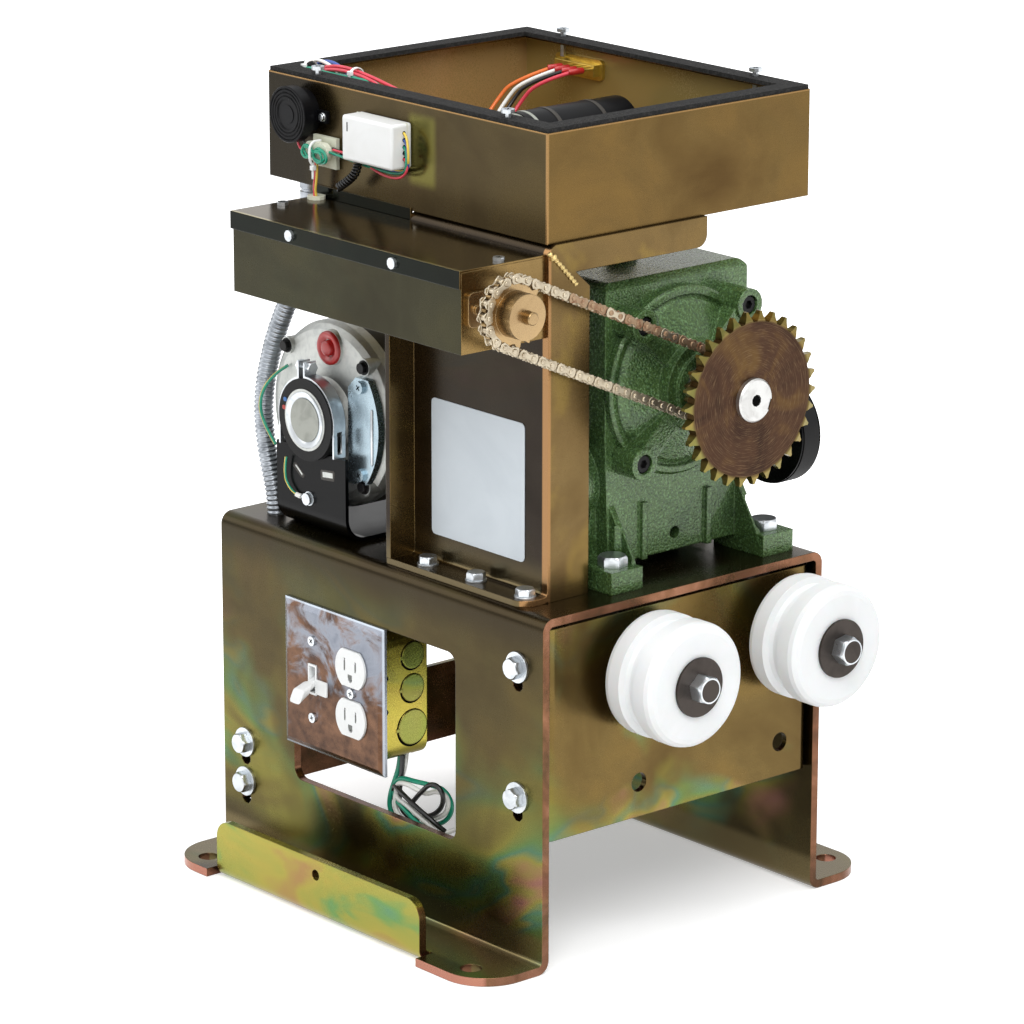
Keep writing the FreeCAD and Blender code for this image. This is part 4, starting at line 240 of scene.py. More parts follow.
def plating_and_facing_shade():
    """Chromated zinc: a tint for each way a face looks, which is painted reflection and shade, with cloudy stains and a
    rainbow bloom low down.
    """

    def write(g, port):
        axes = g.add("SeparateXYZ", {0: port["Facing"]}).outputs
        place = g.add("SeparateXYZ", {0: port["Place"]}).outputs
        # Painted reflection and shade: each face takes the Front, Side or Top tint by which way it looks.
        east = g.times(axes[0], axes[0])
        level = g.times(axes[2], axes[2])
        colour = g.mix(east, port["Front"], port["Side"])
        colour = g.mix(level, colour, port["Top"])
        cloud = g.noise(port["Place"], 11.0, 4.0, 0.55, 0.6)
        shades = [(0.3, (0.28, 0.25, 0.22)), (0.52, (0.5, 0.5, 0.5)), (0.75, (0.75, 0.72, 0.62))]
        colour = g.mix(0.8, colour, g.ramp(cloud, shades), "OVERLAY")
        bands = g.noise(g.stretch(port["Place"], 1.0, 1.0, 1.5), 5.5, 2.5, 0.5, 1.6)
        rainbow = g.ramp(
            bands,
            [
                (0.30, linear("#5c4c26")),
                (0.40, linear("#7c7734")),
                (0.47, linear("#5c7c46")),
                (0.51, linear("#4f7a60")),
                (0.56, linear("#8d8640")),
                (0.63, linear("#9c7258")),
                (0.70, linear("#8f5864")),
                (0.78, linear("#75662e")),
            ],
        )
        start, end = (g.times(port["Bloom height"], share) for share in (0.35, 1.5))
        low = g.math("SUBTRACT", 1.0, g.between(place[2], start, end))
        spots = g.between(g.noise(port["Place"], 8.0, 3.0, 0.5, 0.8), 0.40, 0.64)
        amount = g.times(g.math("ADD", g.times(low, 0.82), 0.1), spots)
        colour = g.mix(g.times(amount, port["Bloom"]), colour, rainbow)
        streak = g.noise(g.stretch(port["Place"], 60.0, 60.0, 900.0), 1.0, 2.0, 0.6)
        fine = g.noise(port["Place"], 900.0, 2.0, 0.7)
        colour = g.mix(g.times(streak, 0.18), colour, g.mix(0.5, colour, (0.0, 0.0, 0.0)))
        rough = g.math("ADD", g.times(cloud, 0.2), g.times(fine, 0.12))
        rough = g.math("ADD", rough, port["Roughness"])
        return {"Color": colour, "Roughness": rough, "Height": g.math("ADD", g.times(streak, 0.5), fine)}

    inputs = [
        ("Place", "Vector", None),
        ("Facing", "Vector", None),
        ("Front", "Color", (0.1, 0.1, 0.1)),
        ("Side", "Color", (0.1, 0.1, 0.1)),
        ("Top", "Color", (0.1, 0.1, 0.1)),
        ("Bloom", "Float", 0.6),
        ("Bloom height", "Float", 0.15),
        ("Roughness", "Float", 0.1),
    ]
    return effect("Chromate plating", inputs, LOOK_OUT, write)


def hammered():
    """Hammered enamel: small soft bumps with pale tops and darker gaps."""

    def write(g, port):
        scale = g.math("DIVIDE", 1.0, port["Cell"])
        cells = g.add("TexVoronoi", {"Vector": port["Place"], "Scale": scale}, feature="SMOOTH_F1")
        g.feed(cells.inputs["Smoothness"], 0.7)
        height = g.math("SUBTRACT", 1.0, cells.outputs["Distance"])
        wide = g.noise(port["Place"], 34.0, 3.0, 0.55, 0.4)
        speck = g.noise(port["Place"], g.times(scale, 0.8), 2.0, 0.6)
        colour = g.mix(g.times(g.between(height, 0.6, 0.3), 0.55), port["Body"], port["Dark"])
        colour = g.mix(g.times(g.between(speck, 0.5, 0.72), 0.5), colour, port["Light"])
        colour = g.mix(g.times(g.between(wide, 0.46, 0.72), 0.4), colour, port["Dark"])
        return {"Color": colour, "Roughness": g.math("MULTIPLY_ADD", speck, 0.2, 0.16), "Height": height}

    inputs = [
        ("Place", "Vector", None),
        ("Body", "Color", (0.1, 0.2, 0.1)),
        ("Light", "Color", (0.3, 0.5, 0.3)),
        ("Dark", "Color", (0.02, 0.05, 0.02)),
        ("Cell", "Float", 0.002),
    ]
    return effect("Hammered enamel", inputs, LOOK_OUT, write)


def grime():
    """Dirt and stains in soft patches, with fine grain for the surface."""

    def write(g, port):
        cloud = g.noise(port["Place"], port["Scale"], 4.0, 0.6, 0.8)
        fine = g.noise(port["Place"], g.times(port["Scale"], 22.0), 2.0, 0.6)
        patch = g.times(g.between(cloud, 0.42, 0.72), port["Amount"])
        colour = g.mix(patch, port["Clean"], port["Dirt"])
        rough = g.math("MULTIPLY_ADD", cloud, 0.16, g.math("MULTIPLY_ADD", fine, 0.1, port["Roughness"]))
        return {"Color": colour, "Roughness": rough, "Height": fine, "Patch": patch}

    inputs = [
        ("Place", "Vector", None),
        ("Clean", "Color", (0.5, 0.5, 0.5)),
        ("Dirt", "Color", (0.1, 0.1, 0.1)),
        ("Amount", "Float", 0.5),
        ("Scale", "Float", 20.0),
        ("Roughness", "Float", 0.2),
    ]
    return effect("Stains and grain", inputs, LOOK_OUT + [("Patch", "Float")], write)


def material(name, metallic=0.0, bump=0.0, depth=0.0002, soft=0.0, **fixed):
    """A new material with its graph, its shader and the surface's own coordinates. soft rounds the look of edges."""
    made = bpy.data.materials.new(name)
    made.use_nodes = True
    g = Graph(made.node_tree)
    shader = made.node_tree.nodes["Principled BSDF"]
    shader.inputs["Metallic"].default_value = metallic
    for label, value in fixed.items():
        g.feed(shader.inputs[label.replace("_", " ")], value)
    where = g.add("TexCoord")

    def surface(colour, roughness, height=None):
        g.feed(shader.inputs["Base Color"], colour)
        g.feed(shader.inputs["Roughness"], roughness)
        if height is not None and bump:
            node = g.add("Bump", {"Strength": bump, "Distance": depth, "Height": height})
            if soft:
                g.feed(node.inputs["Normal"], g.add("Bevel", {"Radius": soft}, samples=6))
            g.feed(shader.inputs["Normal"], node.outputs[0])
        return made

    return g, where.outputs["Object"], where.outputs["Normal"], surface


SHEET_METALLIC = 0.92


def plated(name, front=None, side=None, top=None, bloom=0.6, height=None, roughness=0.1, marks=None, inside=None):
    """Chromated sheet, whose front, side and top tints are painted reflection and shade. marks paints its cut edges and
    other zones, painted highlights among them, and inside gives a duller zone and its colour, which is painted light.
    """
    look = settings().sheet
    g, place, facing, surface = material(name, metallic=SHEET_METALLIC, bump=0.12, soft=0.0009)
    values = {
        "Place": place,
        "Facing": facing,
        "Front": linear(front) if front else tuple(look.front),
        "Side": linear(side) if side else tuple(look.side),
        "Top": linear(top) if top else tuple(look.top),
        "Bloom": bloom,
        "Bloom height": height if height is not None else look.bloom_height,
        "Roughness": roughness,
    }
    made = g.group(plating_and_facing_shade(), values)
    colour = made["Color"]
    if marks:
        at = g.add("SeparateXYZ", {0: place}).outputs
        way = [g.math("ABSOLUTE", axis) for axis in g.add("SeparateXYZ", {0: facing}).outputs]
        colour = marks(g, place, at, way, colour)
    if inside:
        # painted light: the inside zone takes a paler, less metallic colour
        zone, dull = inside(g, at, way)
        colour = g.mix(zone, colour, dull)
        duller = g.math("MULTIPLY_ADD", zone, 0.25 - SHEET_METALLIC, SHEET_METALLIC)
        g.feed(g.tree.nodes["Principled BSDF"].inputs["Metallic"], duller)
    return surface(colour, made["Roughness"], made["Height"])


def stained(name, clean, dirt, amount=0.5, scale=20.0, roughness=0.2, metallic=0.0, bump=0.1, depth=0.0001, **fixed):
    """A surface with soft stains and a fine grain: metal, rubber or plastic."""
    g, place, _, surface = material(name, metallic=metallic, bump=bump, depth=depth, **fixed)
    values = {"Place": place, "Clean": linear(clean), "Dirt": linear(dirt), "Amount": amount, "Scale": scale}
    values["Roughness"] = roughness
    made = g.group(grime(), values)
    return surface(made["Color"], made["Roughness"], made["Height"])


def frame_marks(g, place, at, way, colour):
    """Bright lip, dark foot top, and the coppery cut edges of the bent frame."""
    edge = tuple(settings().sheet.edge)
    patch = g.noise(g.stretch(place, 1.0, 1.0, 2.0), 11.0, 3.0, 0.5, 0.7)
    stops = [(0.3, linear("#a48250")), (0.42, linear("#a89c48")), (0.54, linear("#9a9a48")), (0.62, linear("#6f9656"))]
    lip = g.ramp(patch, stops + [(0.72, linear("#5f9070"))])
    lip_zone = g.times(g.between(at[1], -0.176, -0.182), g.between(at[2], 0.050, 0.044), g.band(at[0], -0.131, 0.111))
    foot = g.times(g.between(at[2], 0.030, 0.022), g.between(at[1], -0.182, -0.176))
    colour = g.tint(colour, foot, 0.6, "#786a48")
    colour = g.mix(g.times(lip_zone, 0.9), colour, lip)
    wide = g.math("SUBTRACT", 1.0, g.band(at[0], -0.1295, 0.1095))
    outer = g.times(g.between(g.math("ABSOLUTE", at[1]), 0.1825, 0.1832), g.between(at[2], 0.0068, 0.0062))
    feet = g.times(outer, g.between(way[2], 0.6, 0.5), wide)
    colour = g.tint(colour, feet, 0.9, "#b37a68")
    dim = g.times(g.between(way[1], 0.6, 0.8), g.between(at[2], 0.225, 0.258))
    colour = g.tint(colour, dim, 0.82, "#2c2416")
    ends = g.between(way[0], 0.7, 0.8)
    flat = g.times(g.between(way[1], 0.35, 0.25), g.band(at[2], 0.0466, 0.2225), g.between(at[1], -0.120, -0.126))
    mask = g.math("MAXIMUM", ends, flat)
    coppers = [(0.3, linear("#3f281e")), (0.5, edge), (0.72, linear("#8f6250"))]
    stain = g.ramp(g.noise(place, 30.0, 3.0, 0.6, 0.5), coppers)
    return g.mix(g.times(mask, 0.88), colour, stain)


def plate_marks(g, place, at, way, colour):
    """Coppery level edges of an upright plate."""
    return g.mix(g.times(g.between(way[2], 0.7, 0.85), 0.7), colour, tuple(settings().sheet.edge))


def column_marks_and_highlight(g, place, at, way, colour):
    """Rosy strip at the left of the column's face and a painted highlight, a copper-coloured line, down its right
    corner.
    """
    front = g.between(way[1], 0.6, 0.8)
    rose = g.times(front, g.between(at[0], -0.002, -0.010))
    colour = g.tint(colour, rose, 0.45, "#7d4c4c")
    # painted highlight: a line down the right corner where the bend catches the light
    corner = g.times(g.between(at[0], 0.1490, 0.1504), g.between(at[1], -0.1035, -0.1050))
    below = g.times(front, g.between(at[2], 0.300, 0.270))
    colour = g.tint(colour, below, 0.5, "#6f6244")
    patch = g.noise(place, 14.0, 3.0, 0.55, 0.9)
    side = g.times(g.between(way[0], 0.6, 0.8), g.between(patch, 0.5, 0.66))
    colour = g.tint(colour, side, 0.35, "#8a7438")
    return g.tint(colour, corner, 0.85, "#946f48")


def lid_edge_highlight(g, place, at, way, colour):
    """Painted highlight: a bright line along the front edge of the lid's top."""
    line = g.times(g.between(way[2], 0.6, 0.8), g.between(at[1], -0.1826, -0.1834))
    return g.tint(colour, line, 0.8, "#b3a678")


def tray_marks_and_highlight(g, place, at, way, colour):
    """A gold painted highlight down the corner and a gold line along the rim, a dark left end of the front, and green
    patches beside the receiver.
    """
    left = g.times(g.between(way[1], 0.6, 0.8), g.between(at[0], -0.075, -0.125), g.between(at[1], -0.100, -0.104))
    colour = g.tint(colour, left, 0.9, "#1b170f")
    across, upright = g.band(at[0], 0.006, 0.026, 0.008), g.band(at[2], 0.552, 0.594, 0.008)
    near = g.times(across, upright, g.between(at[1], -0.100, -0.104))
    colour = g.tint(colour, near, 0.55, "#7a7638")
    # painted highlight: a gold line down the corner where the bend catches the light
    corner = g.times(g.between(at[0], 0.1502, 0.1512), g.between(at[1], -0.1030, -0.1044))
    rim = g.times(g.between(at[2], 0.6052, 0.6060), g.between(way[2], 0.4, 0.3))
    return g.mix(g.times(g.math("MAXIMUM", corner, rim), 0.75), colour, linear("#9c7a4e"))


def tray_inside_painted_light(g, at, way):
    """Painted light: the tray's inner faces get a paler, duller and warmer colour than its outside, so the shaded
    inside looks lit.
    """
    zone = g.times(g.band(at[0], -0.1606, 0.1496), g.band(at[1], -0.1042, 0.1480), g.between(at[2], 0.6050, 0.6044))
    level, east = g.between(way[2], 0.5, 0.7), g.between(way[0], 0.5, 0.7)
    return zone, g.mix(level, g.mix(east, linear("#a08a52"), linear("#a88858")), linear("#9a8648"))


def turned_disc(name):
    """Gate sprocket: a brown face with turning marks inside gold teeth."""
    look = settings().drive
    g, place, _, surface = material(name, metallic=0.9, bump=0.25, depth=0.0001)
    at = g.add("SeparateXYZ", {0: place}).outputs
    y, z = (g.math("SUBTRACT", at[i], GATE_AXIS[i - 1] * MM) for i in (1, 2))
    radius = g.math("SQRT", g.math("ADD", g.times(y, y), g.times(z, z)))
    low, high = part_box("gate_sprocket")
    root = (high.z - low.z) / 2 - 0.0085
    turn = g.add("CombineXYZ", {0: radius, 1: 0.0, 2: g.times(g.math("ARCTAN2", y, z), 0.002)}).outputs[0]
    marks = g.noise(turn, 1600.0, 2.0, 0.7)
    cloud = g.noise(place, 26.0, 3.0, 0.6, 0.8)
    stops = [(0.3, linear("#2d1c13")), (0.5, tuple(look.disc)), (0.7, linear("#574022"))]
    face = g.mix(g.times(g.between(marks, 0.5, 0.7), 0.28), g.ramp(cloud, stops), linear("#8a7352"))
    tooth = g.ramp(cloud, [(0.35, tuple(look.tooth)), (0.6, linear("#6f6c3a")), (0.75, linear("#a08a50"))])
    colour = g.mix(g.between(radius, root, root + 0.004), face, tooth)
    rough = g.math("MULTIPLY_ADD", cloud, 0.2, g.math("MULTIPLY_ADD", marks, 0.15, 0.14))
    return surface(colour, rough, marks)


def enamel(name):
    look = settings().casting
    g, place, _, surface = material(
        name, 0.3, 0.7, 0.0007, 0.0018, Coat_Weight=0.3, Coat_Roughness=0.08, Specular_IOR_Level=0.4
    )
    values = {"Place": place, "Body": tuple(look.body), "Light": tuple(look.light), "Dark": tuple(look.dark)}
    values["Cell"] = look.cell
    made = g.group(hammered(), values)
    return surface(made["Color"], made["Roughness"], made["Height"])


def galvanised(name):
    """Cover plate: blue-grey spangles above and rusty brown below, with a bright worn border."""
    g, place, _, surface = material(name, metallic=0.85, bump=0.15)
    at = g.add("SeparateXYZ", {0: place}).outputs
    cloud = g.noise(place, 26.0, 5.0, 0.65, 0.9)
    height = g.between(at[2], 0.20, 0.13)
    rust = g.between(g.math("MULTIPLY_ADD", height, 0.22, cloud), 0.46, 0.66)
    spangle = g.ramp(cloud, [(0.35, linear("#6d727c")), (0.6, linear("#8b8f98"))])
    brown = g.ramp(g.noise(place, 60.0, 3.0, 0.6), [(0.35, linear("#3a271d")), (0.65, linear("#6a4c38"))])
    colour = g.mix(rust, spangle, brown)
    low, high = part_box("cover_plate")
    sides = [g.between(at[0], high.x - 0.0022, high.x - 0.0012), g.between(at[0], low.x + 0.0016, low.x + 0.0008)]
    sides += [g.between(at[2], low.z + 0.0022, low.z + 0.0012), g.between(at[2], high.z - 0.0016, high.z - 0.0008)]
    border = sides[0]
    for side in sides[1:]:
        border = g.math("MAXIMUM", border, side)
    colour = g.tint(colour, border, 0.75, "#a9b2bc")
    return surface(colour, g.math("MULTIPLY_ADD", cloud, 0.2, 0.16), cloud)


METAL = dict(metallic=0.95, amount=0.5, scale=60.0, roughness=0.18)
PLASTIC = dict(amount=0.3, scale=60.0, roughness=0.28, bump=0.03)
DULL = {"Specular_IOR_Level": 0.22}
MILKY = {"Subsurface_Weight": 0.1, "Subsurface_Scale": 0.006}


def sheet(*colours, **values):
    return lambda name: plated(name, *colours, **values)


def stain(*values, **named):
    return lambda name: stained(name, *values, **named)


def insulation(clean, dirt):
    return stain(clean, dirt, Coat_Weight=0.2, **PLASTIC)


FINISHES = {
    # The front, side and top tints of the sheet finishes are painted reflection and shade, set by which way a face
    # looks.
    "frame sheet": sheet(bloom=0.9, marks=frame_marks),
    "roller plate sheet": sheet(side="#62502b", bloom=0.85, height=0.35, marks=plate_marks),
    "column sheet": sheet(front="#261f18", side="#6a5634", bloom=0.15, marks=column_marks_and_highlight),
    "tray sheet": sheet("#453a22", "#634e2a", "#5f5129", 0.12, marks=tray_marks_and_highlight, inside=tray_inside_painted_light),
    "limit box sheet": sheet(front="#302e1e", side="#7f6840", bloom=0.12),
    "lid sheet": sheet("#0e120c", "#7f6840", "#5c4d31", 0.1, roughness=0.0, marks=lid_edge_highlight),
    "outlet box sheet": sheet("#a5963e", "#bcb04a", "#a5963e", 0.35, 0.6),
    "knockout sheet": sheet("#a2913c", "#8f9a48", "#a2913c", 0.5, 0.6),
    "gold zinc": sheet(front="#8c7550", side="#a68c66", top="#8c7550", bloom=0.15, roughness=0.12),
    "gate sprocket steel": turned_disc,
    "hammered green": enamel,
    "bright zinc": stain("#c9cdd0", "#8d949a", Specular_Tint=(0.9, 0.95, 1.0, 1.0), **METAL),
    "dark zinc": stain("#3c3632", "#2a2522", 0.6, 60.0, 0.26, 0.85),
    # painted shade: grey that stands for the shade inside the outlets' slots
    "opening grey": stain("#6d6f6c", "#5a5c5a", 0.3, 60.0, 0.5),
    "turned steel": stain("#c4c4c2", "#8f8c88", 0.4, 70.0, 0.2, 0.95),
    "link steel": stain("#b5aa95", "#85755e", 0.5, 120.0, 0.24, 0.92),
    "rusty link": stain("#9a8268", "#74482f", 0.9, 120.0, 0.36, 0.75),
    "weld bead": stain("#d9c184", "#93703c", 0.6, 260.0, 0.2, 0.92, 0.3, 0.0003),
    "black oxide": stain("#161617", "#24211e", 0.5, 60.0, 0.32, 0.3, **DULL),
    "black enamel": stain("#040405", "#0a0a0b", 0.5, 40.0, 0.1, 0.0, Specular_IOR_Level=0.09),
    # painted shade: near black for holes and recesses, standing for the shade inside them
    "dark hollow": stain("#050505", "#0a0a09", 0.5, 60.0, 0.8, 0.0, Specular_IOR_Level=0.05),
    "cast aluminium": stain("#b9bbb7", "#94979a", 0.35, 180.0, 0.28, 0.88, 0.5, 0.0003),
    "hub cap": stain("#8f918a", "#6d6f69", 0.5, 60.0, 0.3, 0.7),
    "motor enamel": stain("#3d3a36", "#24211e", 0.6, 18.0, 0.3, 0.2, **DULL),
    "rubber": stain("#111112", "#1d1c1a", 0.6, 40.0, 0.5, **DULL),
    "white polymer": stain("#e9ebec", "#dddfde", 0.4, 16.0, 0.34, 0.0, 0.04, **MILKY),
    "white moulding": stain("#eceeee", "#d9dad6", 0.3, 30.0, 0.2, 0.0, 0.03, Coat_Weight=0.25),
    "cream moulding": stain("#dddfcc", "#c4c5ac", 0.5, 70.0, 0.35, 0.0, 0.3, 0.0004),
    "black moulding": stain("#08080a", "#101114", 0.4, 40.0, 0.26, 0.0, 0.05, Specular_IOR_Level=0.12),
    "spring black": stain("#08080a", "#17171a", 0.4, 200.0, 0.22, 0.0, 0.05),
    "red moulding": stain("#b3201f", "#861818", 0.4, 60.0, 0.24, Coat_Weight=0.3),
    "hazy cap": stain("#8f9388", "#4c4e48", 0.7, 60.0, 0.3, 0.0, 0.1, Coat_Weight=0.3),
    "galvanised plate": galvanised,
    "galvanised conduit": stain("#a0a5ab", "#5e6268", 0.6, 90.0, 0.22, 0.95),
    "zinc cover": stain("#9aabb4", "#62727c", 0.6, 24.0, 0.14, 0.92),
    "bare label plate": stain("#c2cad0", "#b4bdc4", 0.4, 14.0, 0.3, 0.1, 0.04),
    "foam strip": stain("#232323", "#454443", 0.7, 420.0, 0.8, 0.0, 0.9, 0.0006, **DULL),
    "worm bronze": stain("#b98748", "#8a5f30", 0.5, 50.0, 0.28, 0.95),
    "circuit board": stain("#1d5a34", "#15402a", 0.4, 60.0, 0.4),
    "gold frame": stain("#d7bd62", "#a9853a", 0.5, 80.0, 0.2, 0.9),
    "blue mark": stain("#3a6fb0", "#2b548c", 0.4, 90.0, 0.4),
    "red mark": stain("#b8423a", "#8d2f2a", 0.4, 90.0, 0.4),
    "green insulation": insulation("#0f9374", "#0a6a54"),
    "white insulation": insulation("#f2f2ee", "#dcdad2"),
    "black insulation": insulation("#0c0c0d", "#1b1b1d"),
    "red insulation": insulation("#dc3f52", "#b02a3c"),
    "orange insulation": insulation("#ee7a38", "#cc6027"),
    "blue insulation": insulation("#3557a8", "#243f80"),
    "yellow insulation": insulation("#e8c94f", "#c8a83c"),
    "grey insulation": insulation("#6f7781", "#565d66"),
}
MADE = {}


def finish(name):
    """The finish of that name, made when first asked for."""
    if name not in MADE:
        MADE[name] = FINISHES[name](name.capitalize())
    return MADE[name]


NODES_WITH = {
    "frame sheet": ("base_frame", "rear_brace"),
    "roller plate sheet": ("roller_plate",),
    "bright zinc": ("frame_bolts", "deck_bolts", "roller_axles", "motor_clamps", "cover_screws"),
    "column sheet": ("column_bracket",),
    "white polymer": ("front_roller", "rear_roller", "open_limit_nut", "close_limit_nut"),
    "hammered green": ("gearbox_housing", "gearbox_covers"),
    "black oxide": ("gearbox_screws",),
    "turned steel": (
        "output_shaft", "ball_bearings", "worm_shaft", "limit_chain", "motor_rotor", "close_switch_lever",
        "open_switch_lever",
    ),
    "worm bronze": ("worm_wheel",),
    "gate sprocket steel": ("gate_sprocket",),
    "gold zinc": ("chain_drive_sprocket", "limit_sprocket", "limit_bearings", "limit_shaft"),
    "black enamel": ("gearbox_pulley", "motor_pulley", "motor_cradle"),
    "rubber": ("v_belt", "motor_mount_rings"),
    "motor enamel": ("motor_shell",),
    "cast aluminium": ("motor_end_bells",),
    "zinc cover": ("terminal_cover",),
    "red moulding": ("reset_button",),
    "green insulation": ("ground_wire", "control_leads"),
    "galvanised conduit": ("conduit",),
    "outlet box sheet": ("junction_box",),
    "galvanised plate": ("cover_plate",),
    "white moulding": ("toggle_switch", "toggle_lever", "duplex_outlet", "receiver_case"),
    "black insulation": ("supply_leads", "supply_coil"),
    "limit box sheet": ("limit_box_case",),
    "lid sheet": ("limit_box_lid",),
    "black moulding": ("limit_switches", "capacitors", "buzzer"),
    "tray sheet": ("control_box",),
    "foam strip": ("rim_gasket",),
    "gold frame": ("terminal_strip",),
    "circuit board": ("control_board",),
    "red insulation": ("capacitor_leads",),
    "cream moulding": ("tie_mount",),
}


# --------------------------------------------------------------------- shapes


GATE_AXIS = (30.5, 406.3)
LIMIT_AXIS = (-160.72, 492)
MOTOR_AXIS = (-94.4, 355.2)
GROUND_SCREW = (-96.4, 293.3)
CHAIN_TEETH = 16



def spin(axis, angle, a, b):
    """The point (a, b) off an axis after a turn, as a full vector with 0 along the axis."""
    c, s = math.cos(angle), math.sin(angle)
    p, q = a * c - b * s, a * s + b * c
    return {"X": Vector((0, p, q)), "Y": Vector((p, 0, q)), "Z": Vector((p, q, 0))}[axis]


def spot(axis, station, a, b):
    return {"X": Vector((station, a, b)), "Y": Vector((a, station, b)), "Z": Vector((a, b, station))}[axis]


def settle(piece, body, replaces):
    bpy.context.scene.collection.objects.link(piece)
    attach(piece, body)
    if replaces:
        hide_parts(*replaces)
    return piece


def disc(start, end, radius):
    """Profile of a plain disc for a lathe."""
    return [(start, 0), (start, radius), (end, radius), (end, 0)]


class Shape:
    """Collects faces in millimetres and makes them into one piece."""

    def __init__(self):
        self.mesh = bmesh.new()

    def skin(self, loops, closed=True, caps=True):
        """Joins loops of equal length with quads."""
        rows = [[self.mesh.verts.new(Vector(p) * MM) for p in loop] for loop in loops]
        count = len(rows[0])
        for low, high in zip(rows, rows[1:]):
            for i in range(count if closed else count - 1):
                j = (i + 1) % count
                self.mesh.faces.new((low[i], low[j], high[j], high[i]))
        if caps:
            self.mesh.faces.new(list(reversed(rows[0])))
            self.mesh.faces.new(rows[-1])
        return self

    def slab(self, axis, outline, start, end):
        """A plate with a plain outline."""
        return self.skin([[spot(axis, s, a, b) for a, b in outline] for s in (start, end)])

    def box(self, x, y, z):
        corners = [(x[0], y[0]), (x[1], y[0]), (x[1], y[1]), (x[0], y[1])]
        return self.slab("Z", corners, z[0], z[1])

    def rounded(self, axis, a, b, start, end, radius, sides=5):
        """A plate with round corners."""
        outline = []
        for k, (u, v) in enumerate(((a[1], b[1]), (a[0], b[1]), (a[0], b[0]), (a[1], b[0]))):
            u, v = u - math.copysign(radius, u - sum(a) / 2), v - math.copysign(radius, v - sum(b) / 2)
            for i in range(sides + 1):
                turn = math.radians(90 * (k + i / sides))
                outline.append((u + radius * math.cos(turn), v + radius * math.sin(turn)))
        return self.slab(axis, outline, start, end)

    def lathe(self, axis, place, profile, sides=48, closed=False):
        """A turned shape; profile lists (station, radius). A closed one is a ring with a hole."""
        rows = []
        for station, radius in profile + profile[:1] if closed else profile:
            centre = spot(axis, station, *place)
            turns = [2 * math.pi * i / sides for i in range(sides)]
            rows.append([centre + spin(axis, t, max(radius, 0.001), 0) for t in turns])
        return self.skin(rows, caps=not closed)

    def hexagon(self, axis, place, flat, base, tip, turn=0, chamfer=0.16):
        """A bolt head or nut whose outer corners are turned down to a cone."""
        corner, rows = flat / math.sqrt(3), []
        cone = ((1 - chamfer * 1.6, 1), (1 - chamfer, 0.965), (1, 0.86))
        for part, share in ((0, 1),) + cone:
            limit = corner * share
            centre = spot(axis, base + (tip - base) * part, *place)
            row = []
            for i in range(48):
                angle = 2 * math.pi * i / 48
                reach = (flat / 2) / math.cos((angle + math.pi / 6) % (math.pi / 3) - math.pi / 6)
                row.append(centre + spin(axis, angle + math.radians(turn), min(reach, limit), 0))
            rows.append(row)
        return self.skin(rows)

    def tube(self, path, radius, sides=12):
        """A round tube along a path of points; radius may be one number or one for each point."""
        path = [Vector(p) for p in path]
        sizes = radius if hasattr(radius, "__len__") else [radius] * len(path)
        ways = []
        for i in range(len(path)):
            ways.append((path[min(i + 1, len(path) - 1)] - path[max(i - 1, 0)]).normalized())
        side = ways[0].orthogonal().normalized()
        loops = []
        for p, way, size in zip(path, ways, sizes):
            side = (side - way * side.dot(way)).normalized()
            up = way.cross(side)
            turns = [2 * math.pi * i / sides for i in range(sides)]
            loops.append([p + side * (math.cos(t) * size) + up * (math.sin(t) * size) for t in turns])
        return self.skin(loops)

    def make(self, name, look, body="frame", slot=None, replaces=(), bevel=0, angle=35, segments=2):
        bmesh.ops.remove_doubles(self.mesh, verts=self.mesh.verts, dist=1e-7)
        bmesh.ops.recalc_face_normals(self.mesh, faces=self.mesh.faces)
        data = bpy.data.meshes.new(name)
        self.mesh.to_mesh(data)
        self.mesh.free()
        piece = bpy.data.objects.new(name, data)
        data.materials.append(finish(look))
        if bevel:
            add = piece.modifiers.new("Edges", "BEVEL")
            add.width, add.segments, add.limit_method = bevel * MM, segments, "ANGLE"
            add.angle_limit = math.radians(angle)
        data.polygons.foreach_set("use_smooth", [True] * len(data.polygons))
        data.set_sharp_from_angle(angle=math.radians(angle))
        return settle(piece, body, replaces)


def smooth_curve(name, runs, thick=0):
    """A curve with one smooth line for each run of points in millimetres."""
    data = bpy.data.curves.new(name, "CURVE")
    data.dimensions, data.resolution_u = "3D", 10
    data.bevel_depth, data.bevel_resolution, data.use_fill_caps = thick * MM / 2, 3, True
    for run in runs:
        line = data.splines.new("NURBS")
        line.points.add(len(run) - 1)
        for point, place in zip(line.points, run):
            point.co = (*(Vector(place) * MM), 1)
        line.order_u, line.use_endpoint_u = 3, True
    return data


def wires(name, look, runs, thick, body="frame", replaces=()):
    """Round leads of one colour and thickness."""
    data = smooth_curve(name, runs, thick)
    data.materials.append(finish(look))
    return settle(bpy.data.objects.new(name, data), body, replaces)


def insulated(start, colour, runs, thick, replaces=()):
    """Plastic-covered leads that are named by their colour."""
    return wires(start + colour, colour + " insulation", runs, thick, replaces=replaces)


def along(run, step):
    """Evenly spaced points in millimetres along the smooth line of a run."""
    holder = bpy.data.objects.new("line", smooth_curve("line", [run]))
    mesh = bpy.data.meshes.new_from_object(holder)
    line = [v.co / MM for v in mesh.vertices]
    bpy.data.meshes.remove(mesh)
    bpy.data.objects.remove(holder)
    points, need = [line[0]], step
    for here, after in zip(line, line[1:]):
        run_left = (after - here).length
        while need <= run_left and run_left > 0:
            here = here.lerp(after, need / run_left)
            points.append(here)
            run_left, need = (after - here).length, step
        need -= run_left
    return points


